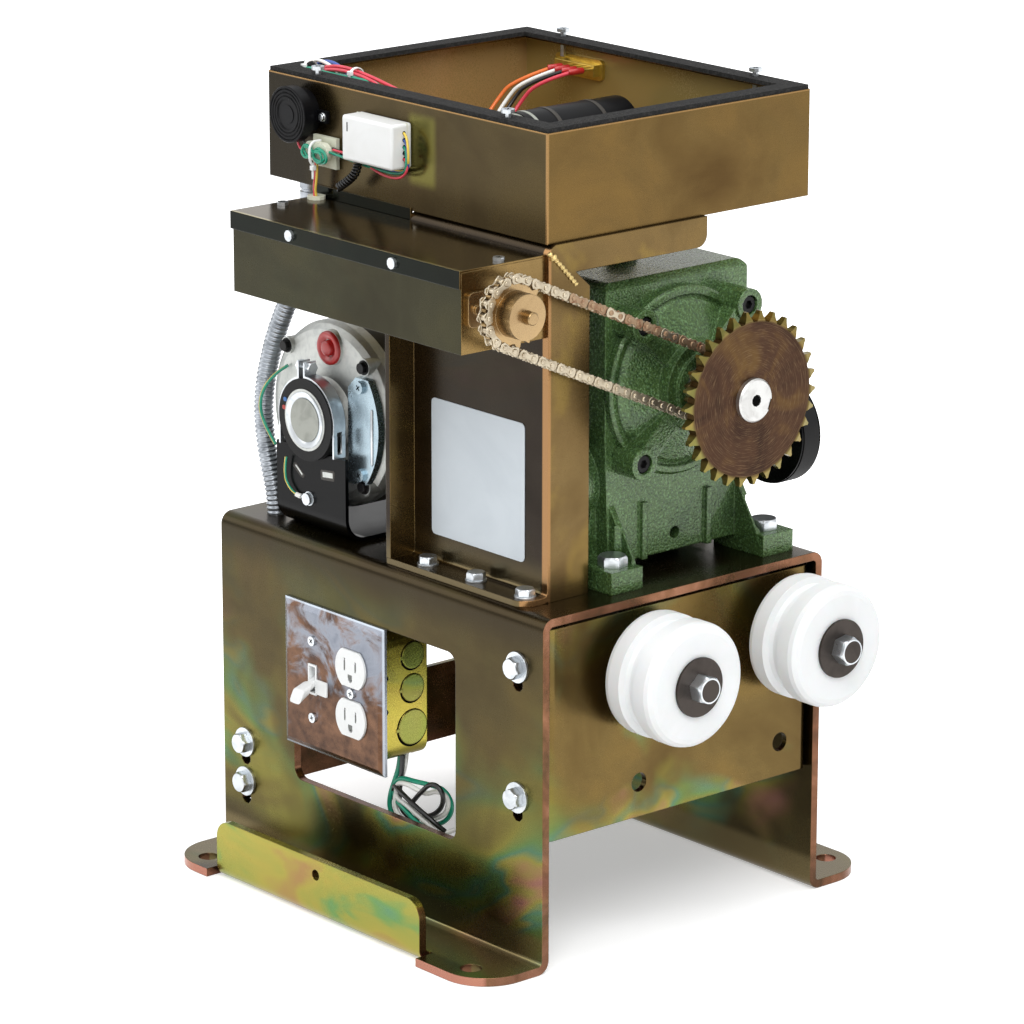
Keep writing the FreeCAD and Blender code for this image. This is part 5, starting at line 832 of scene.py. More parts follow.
def helix(run, radius, pitch, sides=14):
    """Points of a spring whose middle follows a run."""
    middle = along(run, pitch / sides)
    side, points = (middle[1] - middle[0]).orthogonal().normalized(), []
    for i, here in enumerate(middle[:-1]):
        way = (middle[i + 1] - here).normalized()
        side = (side - way * side.dot(way)).normalized()
        turn = 2 * math.pi * i / sides
        points.append(here + side * (radius * math.cos(turn)) + way.cross(side) * (radius * math.sin(turn)))
    return points


def islands(name):
    """Lowest and highest corner, in millimetres, of each separate solid of a CAD node."""
    mesh, boxes, seen = bmesh.new(), [], set()
    mesh.from_mesh(NODES[name].data)
    bmesh.ops.remove_doubles(mesh, verts=mesh.verts, dist=1e-6)
    for start in mesh.verts:
        if start in seen:
            continue
        seen.add(start)
        group, queue = [], [start]
        while queue:
            one = queue.pop()
            group.append(one.co / MM)
            for edge in one.link_edges:
                other = edge.other_vert(one)
                if other not in seen:
                    seen.add(other)
                    queue.append(other)
        boxes.append(tuple(Vector(pick(p[i] for p in group) for i in range(3)) for pick in (min, max)))
    mesh.free()
    return boxes


# ------------------------------------------------------------------- operators


LEAD_EXIT = 112.0
HOUSE_LEADS = (
    (
        "green",
        0.255,
        [(-9.6, -107.4, LEAD_EXIT), (-9.8, -108, 102), (-11.5, -111, 91), (-14, -114, 79)]
        + [(-14.5, -114.2, 67.5), (-8, -112.4, 59.4), (2.3, -109.4, 56.4), (13, -106.5, 57.8), (26, -104.4, 63)]
        + [(41, -103.4, 71), (47, -103.4, 84), (38, -103.8, 94.4), (24.4, -107, 95.4)]
        + [(10.9, -111.9, 95.8), (-1.5, -113.6, 96), (-12, -112.4, 87), (-9.6, -112.6, 76), (6, -117.4, 74.6)]
        + [(19.2, -117, 67.6), (28, -115.4, 64.3), (36.6, -112.6, 61.4), (43, -107.2, 59.4)],
    ),
    (
        "white",
        0.238,
        [(-6.4, -104, LEAD_EXIT), (-6.4, -105, 102), (-6.6, -110, 91), (-7, -114.6, 80.9), (-6.8, -115.2, 70.5)]
        + [(-1.2, -113.8, 63.4), (8.5, -111.4, 61.2), (18.5, -108.6, 62.8), (31, -107.6, 70.4), (43.6, -106.8, 77.6)]
        + [(45.4, -106.2, 89.6), (34, -107, 93.6), (23.6, -110, 88), (15.4, -113.6, 91.4)]
        + [(7, -116, 94), (-5.6, -114.4, 90.6), (-7, -113.6, 78), (8, -117.4, 78.6), (21.7, -116.6, 72.7)]
        + [(32.5, -115.4, 68.7), (40.6, -113.2, 64.8), (46.4, -108.6, 63.4), (48.6, -103.2, 66)],
    ),
    (
        "black",
        0.255,
        [(-4.2, -109.6, LEAD_EXIT), (-4.4, -109.8, 102), (-4.8, -111, 91.6), (-4.8, -112.4, 82.6), (-4.6, -112, 72)]
        + [(0.6, -110.4, 65.4), (10.5, -108.8, 65), (23.2, -109, 70.7), (34.4, -110.6, 75.6), (44.6, -111.4, 85)]
        + [(46.6, -112.8, 97), (36, -114.8, 102.4), (24, -116.6, 90.6)]
        + [(12.6, -113.6, 80.4), (1, -111.4, 70.4), (-13, -111, 73.4), (-10.6, -113.4, 89), (6.6, -119.6, 86.8)]
        + [(25.5, -119, 79.2), (34, -117.2, 75), (41, -114.8, 70.2), (45, -109.8, 64.8)],
    ),
)


class GATE_OT_house_leads(bpy.types.Operator):
    """Loose house leads that hang from the outlet box in a slack knot"""

    bl_idname = "gate_operator.house_leads"
    bl_label = "House leads"

    def execute(self, context):
        thick = settings().wiring.house_lead / MM
        for colour, reach, run in HOUSE_LEADS:
            solids = ("supply_leads", "supply_coil") if colour == "black" else ()
            lead = insulated("house_lead_", colour, [run], thick, solids)
        return {"FINISHED"}


class GATE_OT_finishes(bpy.types.Operator):
    """Give every CAD node its finish"""

    bl_idname = "gate_operator.finishes"
    bl_label = "Finishes"

    def execute(self, context):
        for look, names in NODES_WITH.items():
            for name in names:
                data = NODES[name].data
                data.materials.clear()
                data.materials.append(finish(look))
        return {"FINISHED"}


def chain_joints(pitch, teeth, drive, limit):
    """The chain's joints round its two like sprockets, as (y, z) in millimetres."""
    way = (limit - drive).normalized()
    up = Vector((-way.y, way.x))
    radius = pitch / (2 * math.sin(math.pi / teeth))
    run = round((limit - drive).length / pitch)
    turns = [2 * math.pi / teeth * i for i in range(teeth // 2)]
    places = [drive + up * radius + way * (pitch * i) for i in range(run)]
    places += [limit + up * (radius * math.cos(t)) + way * (radius * math.sin(t)) for t in turns]
    places += [limit - up * radius - way * (pitch * i) for i in range(run)]
    places += [drive - up * (radius * math.cos(t)) - way * (radius * math.sin(t)) for t in turns]
    return places


def link_outline(here, after, half, waist):
    """Outline of a waisted link plate between two joints."""
    way = (after - here).normalized()
    side = Vector((-way.y, way.x))
    ends = []
    for centre, start in ((after, -60), (here, 120)):
        turns = [math.radians(start + 20 * k) for k in range(7)]
        ends.append([centre + way * (half * math.cos(t)) + side * (half * math.sin(t)) for t in turns])
    middle = (here + after) / 2
    points = ends[0] + [middle + side * waist] + ends[1] + [middle - side * waist]
    return [tuple(p) for p in points]


class GATE_OT_limit_chain(bpy.types.Operator):
    """Roller chain of the limit switch drive"""

    bl_idname = "gate_operator.limit_chain"
    bl_label = "Limit chain"

    def execute(self, context):
        look = settings().drive
        pitch, half = look.pitch / MM, look.plate / MM / 2
        low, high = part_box("limit_chain")
        plane = (low.x + high.x) / 2 / MM
        joints = chain_joints(pitch, CHAIN_TEETH, Vector(GATE_AXIS), Vector(LIMIT_AXIS))
        bright, rusty = Shape(), Shape()
        for i, (here, after) in enumerate(zip(joints, joints[1:] + joints[:1])):
            inside = 2.35 + (i % 2) * 1.25
            lower = 34 < i < 51
            outline = link_outline(here, after, half, half * 0.42)
            for side in (-1, 1):
                start = plane + side * inside
                plates = rusty if lower and i % 3 else bright
                plates.slab("X", outline, *sorted((start, start + side * 1.15)))
            bright.lathe("X", tuple(here), disc(plane - 2.3, plane + 2.3, 2.5), 14)
            pin = [(plane + x, r) for x, r in ((-5.7, 0), (-5.7, 1.5), (-5.2, 2), (5.2, 2), (5.7, 1.5), (5.7, 0))]
            (rusty if lower else bright).lathe("X", tuple(here), pin, 12)
        bright.make("limit_chain_links", "link steel", slot="chain_steel", replaces=("limit_chain",), bevel=0.22)
        rusty.make("limit_chain_rusty_links", "rusty link", slot="chain_steel", bevel=0.22)
        return {"FINISHED"}


BOLT_KINDS = {
    "deck_bolts": ((19.2, 19.05, 8, 0, 0), (16.6, 12.7, 5.3, 16, 1.4), (17.8, 12.7, 5.3, 17.5, 1.6)),
    "frame_bolts": ((24, 14.3, 6.3, 23, 2),),
}


class GATE_OT_bolts(bpy.types.Operator):
    """Hex bolts with turned corners on the deck and the legs, with their washers and nuts"""

    bl_idname = "gate_operator.bolts"
    bl_label = "Bolts"

    def execute(self, context):
        for node, axis in (("deck_bolts", 2), ("frame_bolts", 1)):
            shape, letter = Shape(), "XYZ"[axis]
            others = [i for i in range(3) if i != axis]
            for index, (low, high) in enumerate(islands(node)):
                middle = (low + high) / 2
                wide = high[others[0]] - low[others[0]]
                kinds = sorted(BOLT_KINDS[node], key=lambda kind: abs(wide - max(kind[1] * 1.08, kind[3])))
                _, flat, thick, collar, washer = kinds[0]
                side = -1 if axis == 1 and middle[1] < 0 else 1
                tip, end = (high[axis], low[axis]) if side > 0 else (low[axis], high[axis])
                place = tuple(middle[i] for i in others)
                base = tip - side * thick
                turn = (index * 37) % 60
                shape.hexagon(letter, place, flat, base, tip, turn)
                if collar:
                    ring = disc(base - side * washer, base, collar / 2)
                    shape.lathe(letter, place, ring)
                shank = flat * 0.31
                bolt = [(base, 0), (base, shank), (end + side * 1, shank), (end, shank - 1), (end, 0)]
                shape.lathe(letter, place, bolt, 24)
                nut = end + side * 3.0
                shape.hexagon(letter, place, flat, nut + side * flat * 0.42, nut, turn + 20)
            name = node.replace("bolts", "hex_bolts")
            shape.make(name, "bright zinc", slot="bright_zinc", replaces=(node,), bevel=0.15)
        return {"FINISHED"}


def cross_recess(shape, axis, place, face, size, side, turn):
    """A cross-shaped recess in a screw head that faces along the axis, drawn as a thin dark cross of painted shade."""
    for quarter in (0, 90):
        angle = math.radians(turn + quarter)
        way, across = (math.cos(angle), math.sin(angle)), (-math.sin(angle), math.cos(angle))
        half = ((1, 0.16), (0.86, 0.2), (-0.86, 0.2), (-1, 0.16))
        outline = []
        for a, b in half + tuple((-a, -b) for a, b in half):
            outline.append(tuple(place[k] + size * (way[k] * a + across[k] * b) for k in (0, 1)))
        shape.slab(axis, outline, face - side * 0.1, face + side * 0.06 + quarter * side * 0.0002)


class GATE_OT_screws(bpy.types.Operator):
    """Cross recesses of the small screws and the centre mark of the output shaft"""

    bl_idname = "gate_operator.screws"
    bl_label = "Screw recesses"

    def execute(self, context):
        dark = Shape()
        # painted shade: thin dark crosses for the screws' recesses
        for index, (low, high) in enumerate(islands("cover_screws")):
            middle, size = (low + high) / 2, high - low
            upright = size.z > size.y
            wide = size.x
            if wide < 6.0:
                continue
            if upright:
                cross_recess(dark, "Z", (middle.x, middle.y), high.z, wide * 0.27, 1, index * 31)
            else:
                cross_recess(dark, "Y", (middle.x, middle.z), low.y, wide * 0.27, -1, index * 31 + 12)
        dark.make("screw_recesses", "dark hollow", slot="black_oxide")
        low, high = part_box("output_shaft")
        # painted shade: a dark disc for the centre hole in the shaft's end
        centre, tip = Shape(), high.x / MM
        centre.lathe("X", GATE_AXIS, [(tip - 0.2, 3.4), (tip + 0.05, 3.4), (tip + 0.05, 0)], 24)
        centre.make("shaft_centre", "dark hollow", "output_body", "turned_steel")
        return {"FINISHED"}


class GATE_OT_axles(bpy.types.Operator):
    """Roller axles: dark washers and bolt heads with turned corners"""

    bl_idname = "gate_operator.axles"
    bl_label = "Roller axles"

    def execute(self, context):
        nut, plate_back, spacer_end, washer, head = 163.2, 174.2, 190.6, 242.8, 245
        across_flats = 19.05
        plain, dark = Shape(), Shape()
        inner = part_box("roller_plate")[1].x / MM
        for index, (low, high) in enumerate(islands("roller_axles")):
            place, reach = ((low.y + high.y) / 2, (low.z + high.z) / 2), high.x
            plain.lathe("X", place, [(inner, 8.2), (inner, 12.5), (spacer_end, 12.5), (spacer_end, 8.2)], closed=True)
            plain.lathe("X", place, disc(low.x, 242.6, 7.6), 32)
            plain.hexagon("X", place, across_flats, head, reach, 12 + 29 * index)
            plain.hexagon("X", place, across_flats, plate_back, nut, 8)
            plain.lathe("X", place, disc(plate_back, 176.6, 17.5), 40)
            dark.lathe("X", place, disc(washer, 245.2, 22), 64)
            dark.lathe("X", place, [(reach - 0.4, 8.4), (reach + 0.12, 8.4), (reach + 0.12, 0)], 40)
        plain.make("roller_axle_bolts", "bright zinc", slot="bright_zinc", replaces=("roller_axles",), bevel=0.25)
        dark.make("roller_washers", "dark zinc", slot="bright_zinc", bevel=0.3)
        return {"FINISHED"}


class GATE_OT_column(bpy.types.Operator):
    """Bare plate and weld beads of the column"""

    bl_idname = "gate_operator.column"
    bl_label = "Column"

    def execute(self, context):
        plate = Shape().rounded("Y", (28, 131), (291, 394), -107.4, -106.6, 4)
        plate.make("column_plate", "bare label plate", slot="bright_zinc", bevel=0.2)
        bead = Shape()
        run = along([(155.9, -106.4, 522), (156, -103, 519), (156, -94, 510.4), (155.9, -81, 496.4)], 1.2)
        sizes = [1.6 + 0.6 * math.sin(i * 1.9) + (1.1 if 2 < i < 6 else 0) for i in range(len(run))]
        bead.tube(run, sizes)
        bead.make("column_weld", "weld bead", slot="yellow_zinc_sheet", angle=80)
        # A strip of dark lid sheet that fills the gap between the tray and the lid.
        gap_strip = Shape().box((-106, 4), (-106.4, -104), (512, 529.4))
        gap_strip.make("tray_gap_strip", "lid sheet", slot="yellow_zinc_sheet", bevel=0.3)
        return {"FINISHED"}


class GATE_OT_motor(bpy.types.Operator):
    """Reset ring and button, ear bolts, cover bead, bonding leads and band marks of the motor"""

    bl_idname = "gate_operator.motor"
    bl_label = "Motor details"

    def execute(self, context):
        reset = (-89.4, 408.2)
        ring = Shape()
        profile = [(-107.3, 13), (-109.2, 12.8), (-110.2, 11.8), (-110.2, 9.4)]
        profile += [(-109.2, 8.2), (-108.6, 6.6), (-107.3, 6.4)]
        ring.lathe("Y", reset, profile, 56, closed=True)
        ring.make("reset_ring", "red moulding", slot="red_polymer", bevel=0.25, angle=50)
        knob = Shape()
        dome = [(-100, 5.8), (-111, 5.8), (-111.6, 5.2), (-112, 3.6), (-112.1, 0)]
        knob.lathe("Y", reset, [(-100, 0)] + dome, 40)
        knob.make("reset_knob", "red moulding", "reset_button_body", "red_polymer", ("reset_button",), 0.2, 50)

        bolts, dark = Shape(), Shape()
        for x, z in ((-140, 309.6), (-48.8, 400.8), (-140, 400.8), (-48.8, 309.6)):
            bolts.lathe("Y", (x, z), [(-107.8, 0), (-107.8, 5.6), (-108.8, 5.6), (-108.8, 5)], 32)
            bolts.hexagon("Y", (x, z), 7.9, -108.6, -112, x + z)
        bolts.lathe("Y", GROUND_SCREW, [(-122.4, 0), (-122.4, 3.9), (-124.6, 3.7), (-125.2, 3), (-125.2, 0)], 32)
        bolts.make("motor_bolts", "black oxide", slot="black_oxide", bevel=0.15)
        # painted shade: thin dark crosses for the recesses of the cover screws and the ground screw
        for x, z in ((-47.55, 319.7), (-47.55, 386.7)):
            cross_recess(dark, "Y", (x, z), -114.8, 2.4, -1, 40)
        cross_recess(dark, "Y", GROUND_SCREW, -125.2, 1.9, -1, 10)
        dark.make("motor_screw_recesses", "dark hollow", slot="black_oxide")

        hub = Shape()
        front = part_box("motor_end_bells")[0].y / MM
        rim = [(front + 0.6, 21.4), (front - 0.5, 21.4), (front - 1, 20.8), (front - 0.6, 18.6), (front + 0.6, 16.2)]
        hub.lathe("Y", MOTOR_AXIS, rim, 64, closed=True)
        hub.make("motor_hub_rim", "bright zinc", slot="cast_aluminium", angle=50)
        face = Shape().lathe("Y", MOTOR_AXIS, [(front + 0.4, 16.6), (front - 0.15, 16.6), (front - 0.15, 0)], 64)
        face.make("motor_hub_face", "hub cap", slot="cast_aluminium")

        arm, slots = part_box("motor_cradle")[0].y / MM, Shape()
        for shape in (
            [(-114.8, 317.3), (-111.6, 317.9), (-101.6, 310.4), (-102.8, 307.8), (-106, 307.9), (-115.6, 314.6)],
            [(-81.6, 318.8), (-67, 320.4), (-66, 319.2), (-66.4, 313.4)]
            + [(-67.6, 312.4), (-81.4, 311), (-82.4, 312.4), (-82.6, 317.6)],
        ):
            slots.slab("Y", shape, arm - 0.12, arm + 0.4)
        slots.make("cradle_slots", "motor enamel", slot="black_oxide")
        for name, shape in (
            ("cradle_slot_left", [(-113.2, 315.9), (-111.6, 316.4), (-104.2, 310.8), (-104.8, 309.4)]),
            ("cradle_slot_right", [(-80.2, 317.4), (-68.4, 318.6), (-68.2, 314.6), (-80, 313.4)]),
        ):
            Shape().slab("Y", shape, arm - 0.18, arm + 0.3).make(name, "cast aluminium", slot="cast_aluminium")

        bead = Shape().tube([(-34.6, -112, z) for z in (329, 330.5, 371, 372.5)], [0.2, 1.3, 1.3, 0.2], 14)
        bead.make("terminal_cover_bead", "bright zinc", slot="bright_zinc", angle=80)

        thin = settings().wiring.control_lead / MM
        upper = [(-139.4, -107.6, 385.2), (-147.4, -114, 379.2), (-160.4, -118, 361.2), (-159.4, -118.5, 341.2)]
        upper += [(-142.4, -118, 325.2)]
        lower = [(-119.3, -126, 321.4), (-123.4, -125.5, 306.3), (-114.4, -125.1, 295.3), (-108, -124.4, 294)]
        look = "green insulation"
        wires("bell_bonding_lead", look, [upper], thin * 1.3, replaces=("ground_wire",))
        wires("arm_bonding_lead", look, [lower], thin)
        stripe = [
            [(x - left, y - out, z + 0.2) for x, y, z in run]
            for run, left, out in ((upper, 0.5, 0.85), (lower, 0.3, 0.7))
        ]
        wires("bonding_lead_stripes", "yellow insulation", stripe, 0.9)
        crimp = Shape().tube([(-109.6, -124.6, 294.2), (-104.6, -124, 293.4)], 1.9)
        crimp.make("bonding_crimp", "white insulation", slot="white_polymer", bevel=0.3)
        eye = Shape()
        eye.lathe("Y", GROUND_SCREW, [(-122.4, 5.5), (-123.3, 5.5), (-123.3, 3.6), (-122.4, 3.6)], 32, closed=True)
        eye.tube([(-105, -123.4, 293.4), (-101, -122.9, 293.3)], 1.3)
        eye.make("bonding_eye", "bright zinc", slot="bright_zinc", bevel=0.15)

        for colour, x, z in (("blue", -117.5, 366.8), ("red", -118.9, 360.4)):
            mark = Shape().rounded("Y", (x - 1.8, x + 1.8), (z - 1.6, z + 1.6), -128.2, -127.6, 1.2)
            mark.make("band_mark_" + colour, colour + " mark", slot="rubber", bevel=0.1)
        return {"FINISHED"}


CONDUIT_RUN = [(-158, -104, 240), (-158.5, -104, 275), (-171, -104.5, 312), (-176, -104, 352)]
CONDUIT_RUN += [(-166, -101, 398), (-148, -96, 440), (-133, -92, 482), (-128, -90, 528)]


class GATE_OT_conduit(bpy.types.Operator):
    """Flexible metal conduit with its two connectors"""

    bl_idname = "gate_operator.conduit"
    bl_label = "Conduit"

    def execute(self, context):
        look = settings().wiring
        outer, ridge = look.conduit / MM / 2, look.ridge / MM
        line = along(CONDUIT_RUN, ridge / 6)
        depth = (0, 0.12, 0.55, 1, 0.72, 0.2)
        hose = Shape().tube(line, [outer - 1.25 * depth[i % 6] for i in range(len(line))], 20)
        hose.make("conduit_hose", "galvanised conduit", slot="galvanised", replaces=("conduit",), angle=80)
        fitting = Shape()
        top = [(512, 0), (512, 8.6), (513.2, 9.4), (518.6, 9.4), (519.2, 8.4), (520.6, 8.4), (521.2, 9.6), (526.8, 9.6)]
        fitting.lathe("Z", (-129.2, -90.6), top + [(527.6, 8.8), (529.2, 8.8), (529.2, 0)], 40)
        low = [(236, 0), (236, 9), (243, 9), (244, 8.2), (252, 8.2), (252.8, 7.4), (252.8, 0)]
        fitting.lathe("Z", (-158, -104), low, 40)
        fitting.hexagon("Z", (-128, -90), 25, 529.3, 533.2, 12)
        fitting.make("conduit_connectors", "galvanised conduit", slot="galvanised", bevel=0.25)
        return {"FINISHED"}


class GATE_OT_outlet_box(bpy.types.Operator):
    """Knockouts and holes of the outlet box, the slots of the outlets and the tab and grip of the toggle"""

    bl_idname = "gate_operator.outlet_box"
    bl_label = "Outlet box details"

    def execute(self, context):
        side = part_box("junction_box")[1].x / MM
        dark, discs, slots = Shape(), Shape(), Shape()
        for y, z, size in ((-106.6, 191, 21), (-107, 165.8, 21.5), (-107.2, 135.2, 27.5)):
            edge = size / 2 + 0.9
            # painted shade: a dark disc behind each knockout for the shade inside the box
            dark.lathe("X", (y, z), [(side - 0.3, edge), (side + 0.05, edge), (side + 0.05, 0)], 48)
            rim = [(side - 0.2, 0), (side - 0.2, size / 2), (side + 0.35, size / 2), (side + 0.7, size / 2 - 0.5)]
            discs.lathe("X", (y + 0.5, z + 0.5), rim + [(side + 0.7, 0)], 48)
            discs.box((side - 0.2, side + 0.5), (y - size / 2 - 1.5, y - size / 2 + 1.5), (z - 1.4, z + 1.4))
        # painted shade: dark discs for the two holes
        for z in (178, 151.7):
            dark.lathe("X", (-132, z), [(side - 0.3, 2.3), (side + 0.06, 2.3), (side + 0.06, 0)], 24)
        discs.make("outlet_box_knockouts", "knockout sheet", slot="yellow_zinc_sheet", bevel=0.12)
        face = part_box("duplex_outlet")[0].y / MM
        for z in (181.45, 142.45):
            for x, tall in ((-30, 7.6), (-17.4, 6.2)):
                # painted shade: grey slabs for the outlets' slots
                slots.box((x - 0.65, x + 0.65), (face - 0.06, face + 0.3), (z + 1.5 - tall / 2, z + 1.5 + tall / 2))
            turns = [math.radians(a) for a in range(180, 361, 15)]
            hole = [(-23.7 + 2.4 * math.cos(t), z - 6.2 + 2.4 * math.sin(t)) for t in turns]
            hole += [(-21.3, z - 4.6), (-26.1, z - 4.6)]
            slots.slab("Y", hole, face - 0.06, face + 0.3)
        dark.make("outlet_box_openings", "dark hollow", slot="black_oxide")
        slots.make("outlet_slots", "opening grey", slot="black_oxide")
        tab = Shape().rounded("Y", (-65.2, -52), (151.6, 163.2), -143.6, -142.1, 0.8)
        tab.make("toggle_tab", "white moulding", slot="white_gloss", bevel=0.3)
        grip = Shape()
        loops = []
        neck = ((-134, 163.4, 3.3, 3.2), (-146.6, 157.3, 3.5, 3.6))
        for y, z, half, thick in neck + ((-148.6, 156.3, 5.3, 4.8), (-158, 151.8, 6.4, 5.6)):
            turns = [math.radians(15 * i) for i in range(24)]
            loop = []
            for a in turns:
                c, s = math.cos(a), math.sin(a)
                u, v = math.copysign(abs(c) ** 0.4, c) * half, math.copysign(abs(s) ** 0.4, s) * thick
                loop.append((-69.7 + u, y + v * 0.42, z + v * 0.9))
            loops.append(loop)
        grip.skin(loops)
        grip.make("toggle_grip", "white moulding", "toggle_lever_body", "white_gloss", ("toggle_lever",), 0.5)
        return {"FINISHED"}


class GATE_OT_receiver(bpy.types.Operator):
    """Radio receiver case with the lead holes in its end and a slot for its lamp"""

    bl_idname = "gate_operator.receiver"
    bl_label = "Receiver"

    def execute(self, context):
        low, high = (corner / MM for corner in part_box("receiver_case"))
        case = Shape().box((low.x, high.x), (low.y, high.y), (low.z, high.z))
        solids = ("receiver_case",)
        case.make("receiver_shell", "white moulding", slot="white_gloss", replaces=solids, bevel=2.2, segments=3)
        dark = Shape()
        # painted shade: dark discs for the lead holes in the end and a dark slot for the lamp
        for z in (585.5, 580.4, 575.3, 570.9, 566.5):
            dark.lathe("X", (-112.9, z), [(high.x - 0.4, 1.5), (high.x + 0.05, 1.5), (high.x + 0.05, 0)], 20)
        dark.rounded("Y", (-45.9, -44.7), (580.6, 587.6), low.y - 0.05, low.y + 0.4, 0.5)
        dark.make("receiver_openings", "dark hollow", slot="black_polymer")
        seam = Shape().box((low.x - 0.03, high.x + 0.03), (-110.2, -109.7), (low.z - 0.03, high.z + 0.03))
        seam.make("receiver_seam", "cream moulding", slot="white_gloss")
        return {"FINISHED"}


class GATE_OT_buzzer(bpy.types.Operator):
    """Stepped round face and mounting screw of the sounder"""

    bl_idname = "gate_operator.buzzer"
    bl_label = "Buzzer"

    def execute(self, context):
        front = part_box("buzzer")[0].y / MM
        place = (-119, 581.5)
        face = Shape()
        profile = [(front + 0.5, 0), (front + 0.5, 21.05)]
        for radius in (20.2, 17.6, 15, 12.4):
            for deep, out in ((0, 0.9), (0.45, 0.5), (0.45, -0.5), (0, -0.9)):
                profile.append((front - deep, radius + out))
        face.lathe("Y", place, profile + [(front, 11.2), (front + 0.45, 10.9), (front + 0.45, 0)], 64)
        face.make("buzzer_rings", "black moulding", slot="black_polymer", angle=25)
        # painted shade: a dark disc for the hole in the middle of the face
        hole = Shape().lathe("Y", place, disc(front + 1, front + 0.3, 2.6), 24)
        hole.make("buzzer_hole", "dark hollow", slot="black_polymer")
        dome = [(-107.8, 0), (-107.8, 3.4), (-109.2, 3.2), (-110.3, 2.2), (-110.7, 0)]
        head = Shape().lathe("Y", (-94.5, 581.5), dome, 32)
        head.make("buzzer_screw", "bright zinc", slot="bright_zinc")
        return {"FINISHED"}


CONTROL_LEADS = {
    "yellow": [
        [(4.6, -112.9, 585.5), (8.5, -113.5, 584), (12, -115, 576), (12.5, -115, 568), (9.5, -113, 561)]
        + [(3.5, -111, 556.6), (-12, -110, 555.6), (-40, -108.6, 556.6)],
        [(-93, -114.6, 549), (-92.8, -115, 541), (-93.6, -115.6, 532), (-95.6, -114.6, 526), (-96.4, -112.4, 520)],
    ],
    "blue": [
        [(4.6, -112.9, 580.4), (8, -113.2, 579.5), (11, -114.5, 572), (11.5, -114, 564), (7.5, -112.5, 557.5)]
        + [(-5, -110.5, 554.5), (-25, -109.5, 554.8), (-45, -109.5, 555.2), (-62, -110, 556.5), (-78, -111.4, 556.6)],
    ],
    "green": [
        [(4.6, -112.9, 575.3), (8, -113.4, 574), (10.6, -115.3, 567), (9.5, -115, 560), (4, -113.3, 556)]
        + [(-8, -112, 553.4), (-25, -111.5, 553.6), (-45, -111.5, 554.4), (-62, -112, 556.2), (-80, -113.5, 558.2)],
    ],
    "black": [
        [(4.6, -112.9, 570.9), (7.5, -113.2, 570.2), (9.5, -113.5, 563), (6.5, -111, 557), (-6, -109, 554.6)]
        + [(-25, -107.6, 556), (-45, -107.6, 556.5), (-62, -109, 558.3), (-80, -110.5, 560.8)],
        [(-96.6, -113.4, 549), (-96.9, -113.6, 541), (-98.6, -113.8, 530), (-98, -113.2, 520)],
        [(-114, -111, 562.4), (-112.6, -110.6, 559), (-110, -111, 556), (-104, -111, 554.4)],
    ],
    "red": [
        [(4.6, -113, 566.5), (8.5, -114, 566.4), (10.9, -114.4, 560.6), (7, -114.6, 554.6), (-0.5, -114.6, 551.4)]
        + [(-12, -114.2, 550.8), (-26.8, -113, 552.4), (-39.3, -110.5, 554.8), (-50, -109.5, 557.6)]
        + [(-62, -110.5, 559.6), (-78, -111.5, 560)],
        [(-94.9, -114.4, 549), (-95.2, -114.6, 540), (-97, -114.9, 530), (-97.4, -113.8, 520)],
        [(-118, -113, 561.4), (-117.4, -112.8, 558.4), (-114.4, -112.6, 555), (-107, -112.4, 553.6)],
    ],
}
TRAY_BUNDLE = {
    "white": [
        [(-158.4, -76, 575), (-160, -76, 598), (-157.6, -75, 609.4), (-145, -75, 613.6), (-132, -74, 612.6)]
        + [(-122, -70, 606), (-117, -66, 596)],
    ],
    "blue": [
        [(-154, -72, 575), (-154.4, -72, 600), (-147, -71, 609.6), (-134, -71, 613.4), (-120, -71, 611.6)]
        + [(-106, -70, 603), (-100, -66, 592)],
    ],
    "red": [
        [(-148, -76, 578), (-147, -78, 598), (-138, -78, 607.4), (-119, -78, 612.6), (-100, -78, 613.4)]
        + [(-77, -78, 611), (-58, -77, 607.4), (-43, -75, 603.6), (-34, -72, 594), (-32, -68, 570)],
        [(-144, -80, 580), (-140, -82, 600), (-128, -82, 609), (-104, -82, 612), (-80, -82, 610.8)]
        + [(-60, -81, 606.4), (-48, -80, 594)],
    ],
    "grey": [
        [(-142, -72, 578), (-141, -74, 597), (-132, -75, 604.2), (-111, -75, 605.8), (-91, -75, 606.6)]
        + [(-77, -74, 606.6), (-70, -72, 602), (-66, -68, 590)],
    ],
    "green": [
        [(-150, -82, 578), (-152, -83, 600), (-144, -84, 609), (-127, -84, 608), (-106, -84, 607.8)]
        + [(-86, -84, 608.6), (-72, -83, 608.2), (-65, -81, 602), (-62, -78, 588)],
        [(-146, -68, 578), (-146, -70, 600), (-134, -70, 606), (-112, -70, 607.6), (-94, -70, 606)]
        + [(-80, -70, 598)],
    ],
}


def lobe(middle, wide, tall, start, turns, shrink, near, far):
    """Points of a flat loop of spare lead that winds inwards from its outer turn."""
    points, count = [], int(turns * 10)
    for i in range(count):
        part = i / count
        turn, size = math.radians(start + 36 * i), 1.0 - shrink * part
        x = middle[0] + wide * size * math.cos(turn) + 0.7 * math.sin(i * 1.7)
        z = middle[1] + tall * size * math.sin(turn) + 0.5 * math.cos(i * 2.3)
        points.append((x, near + (far - near) * part + 0.5 * math.sin(i * 0.9), z))
    return points


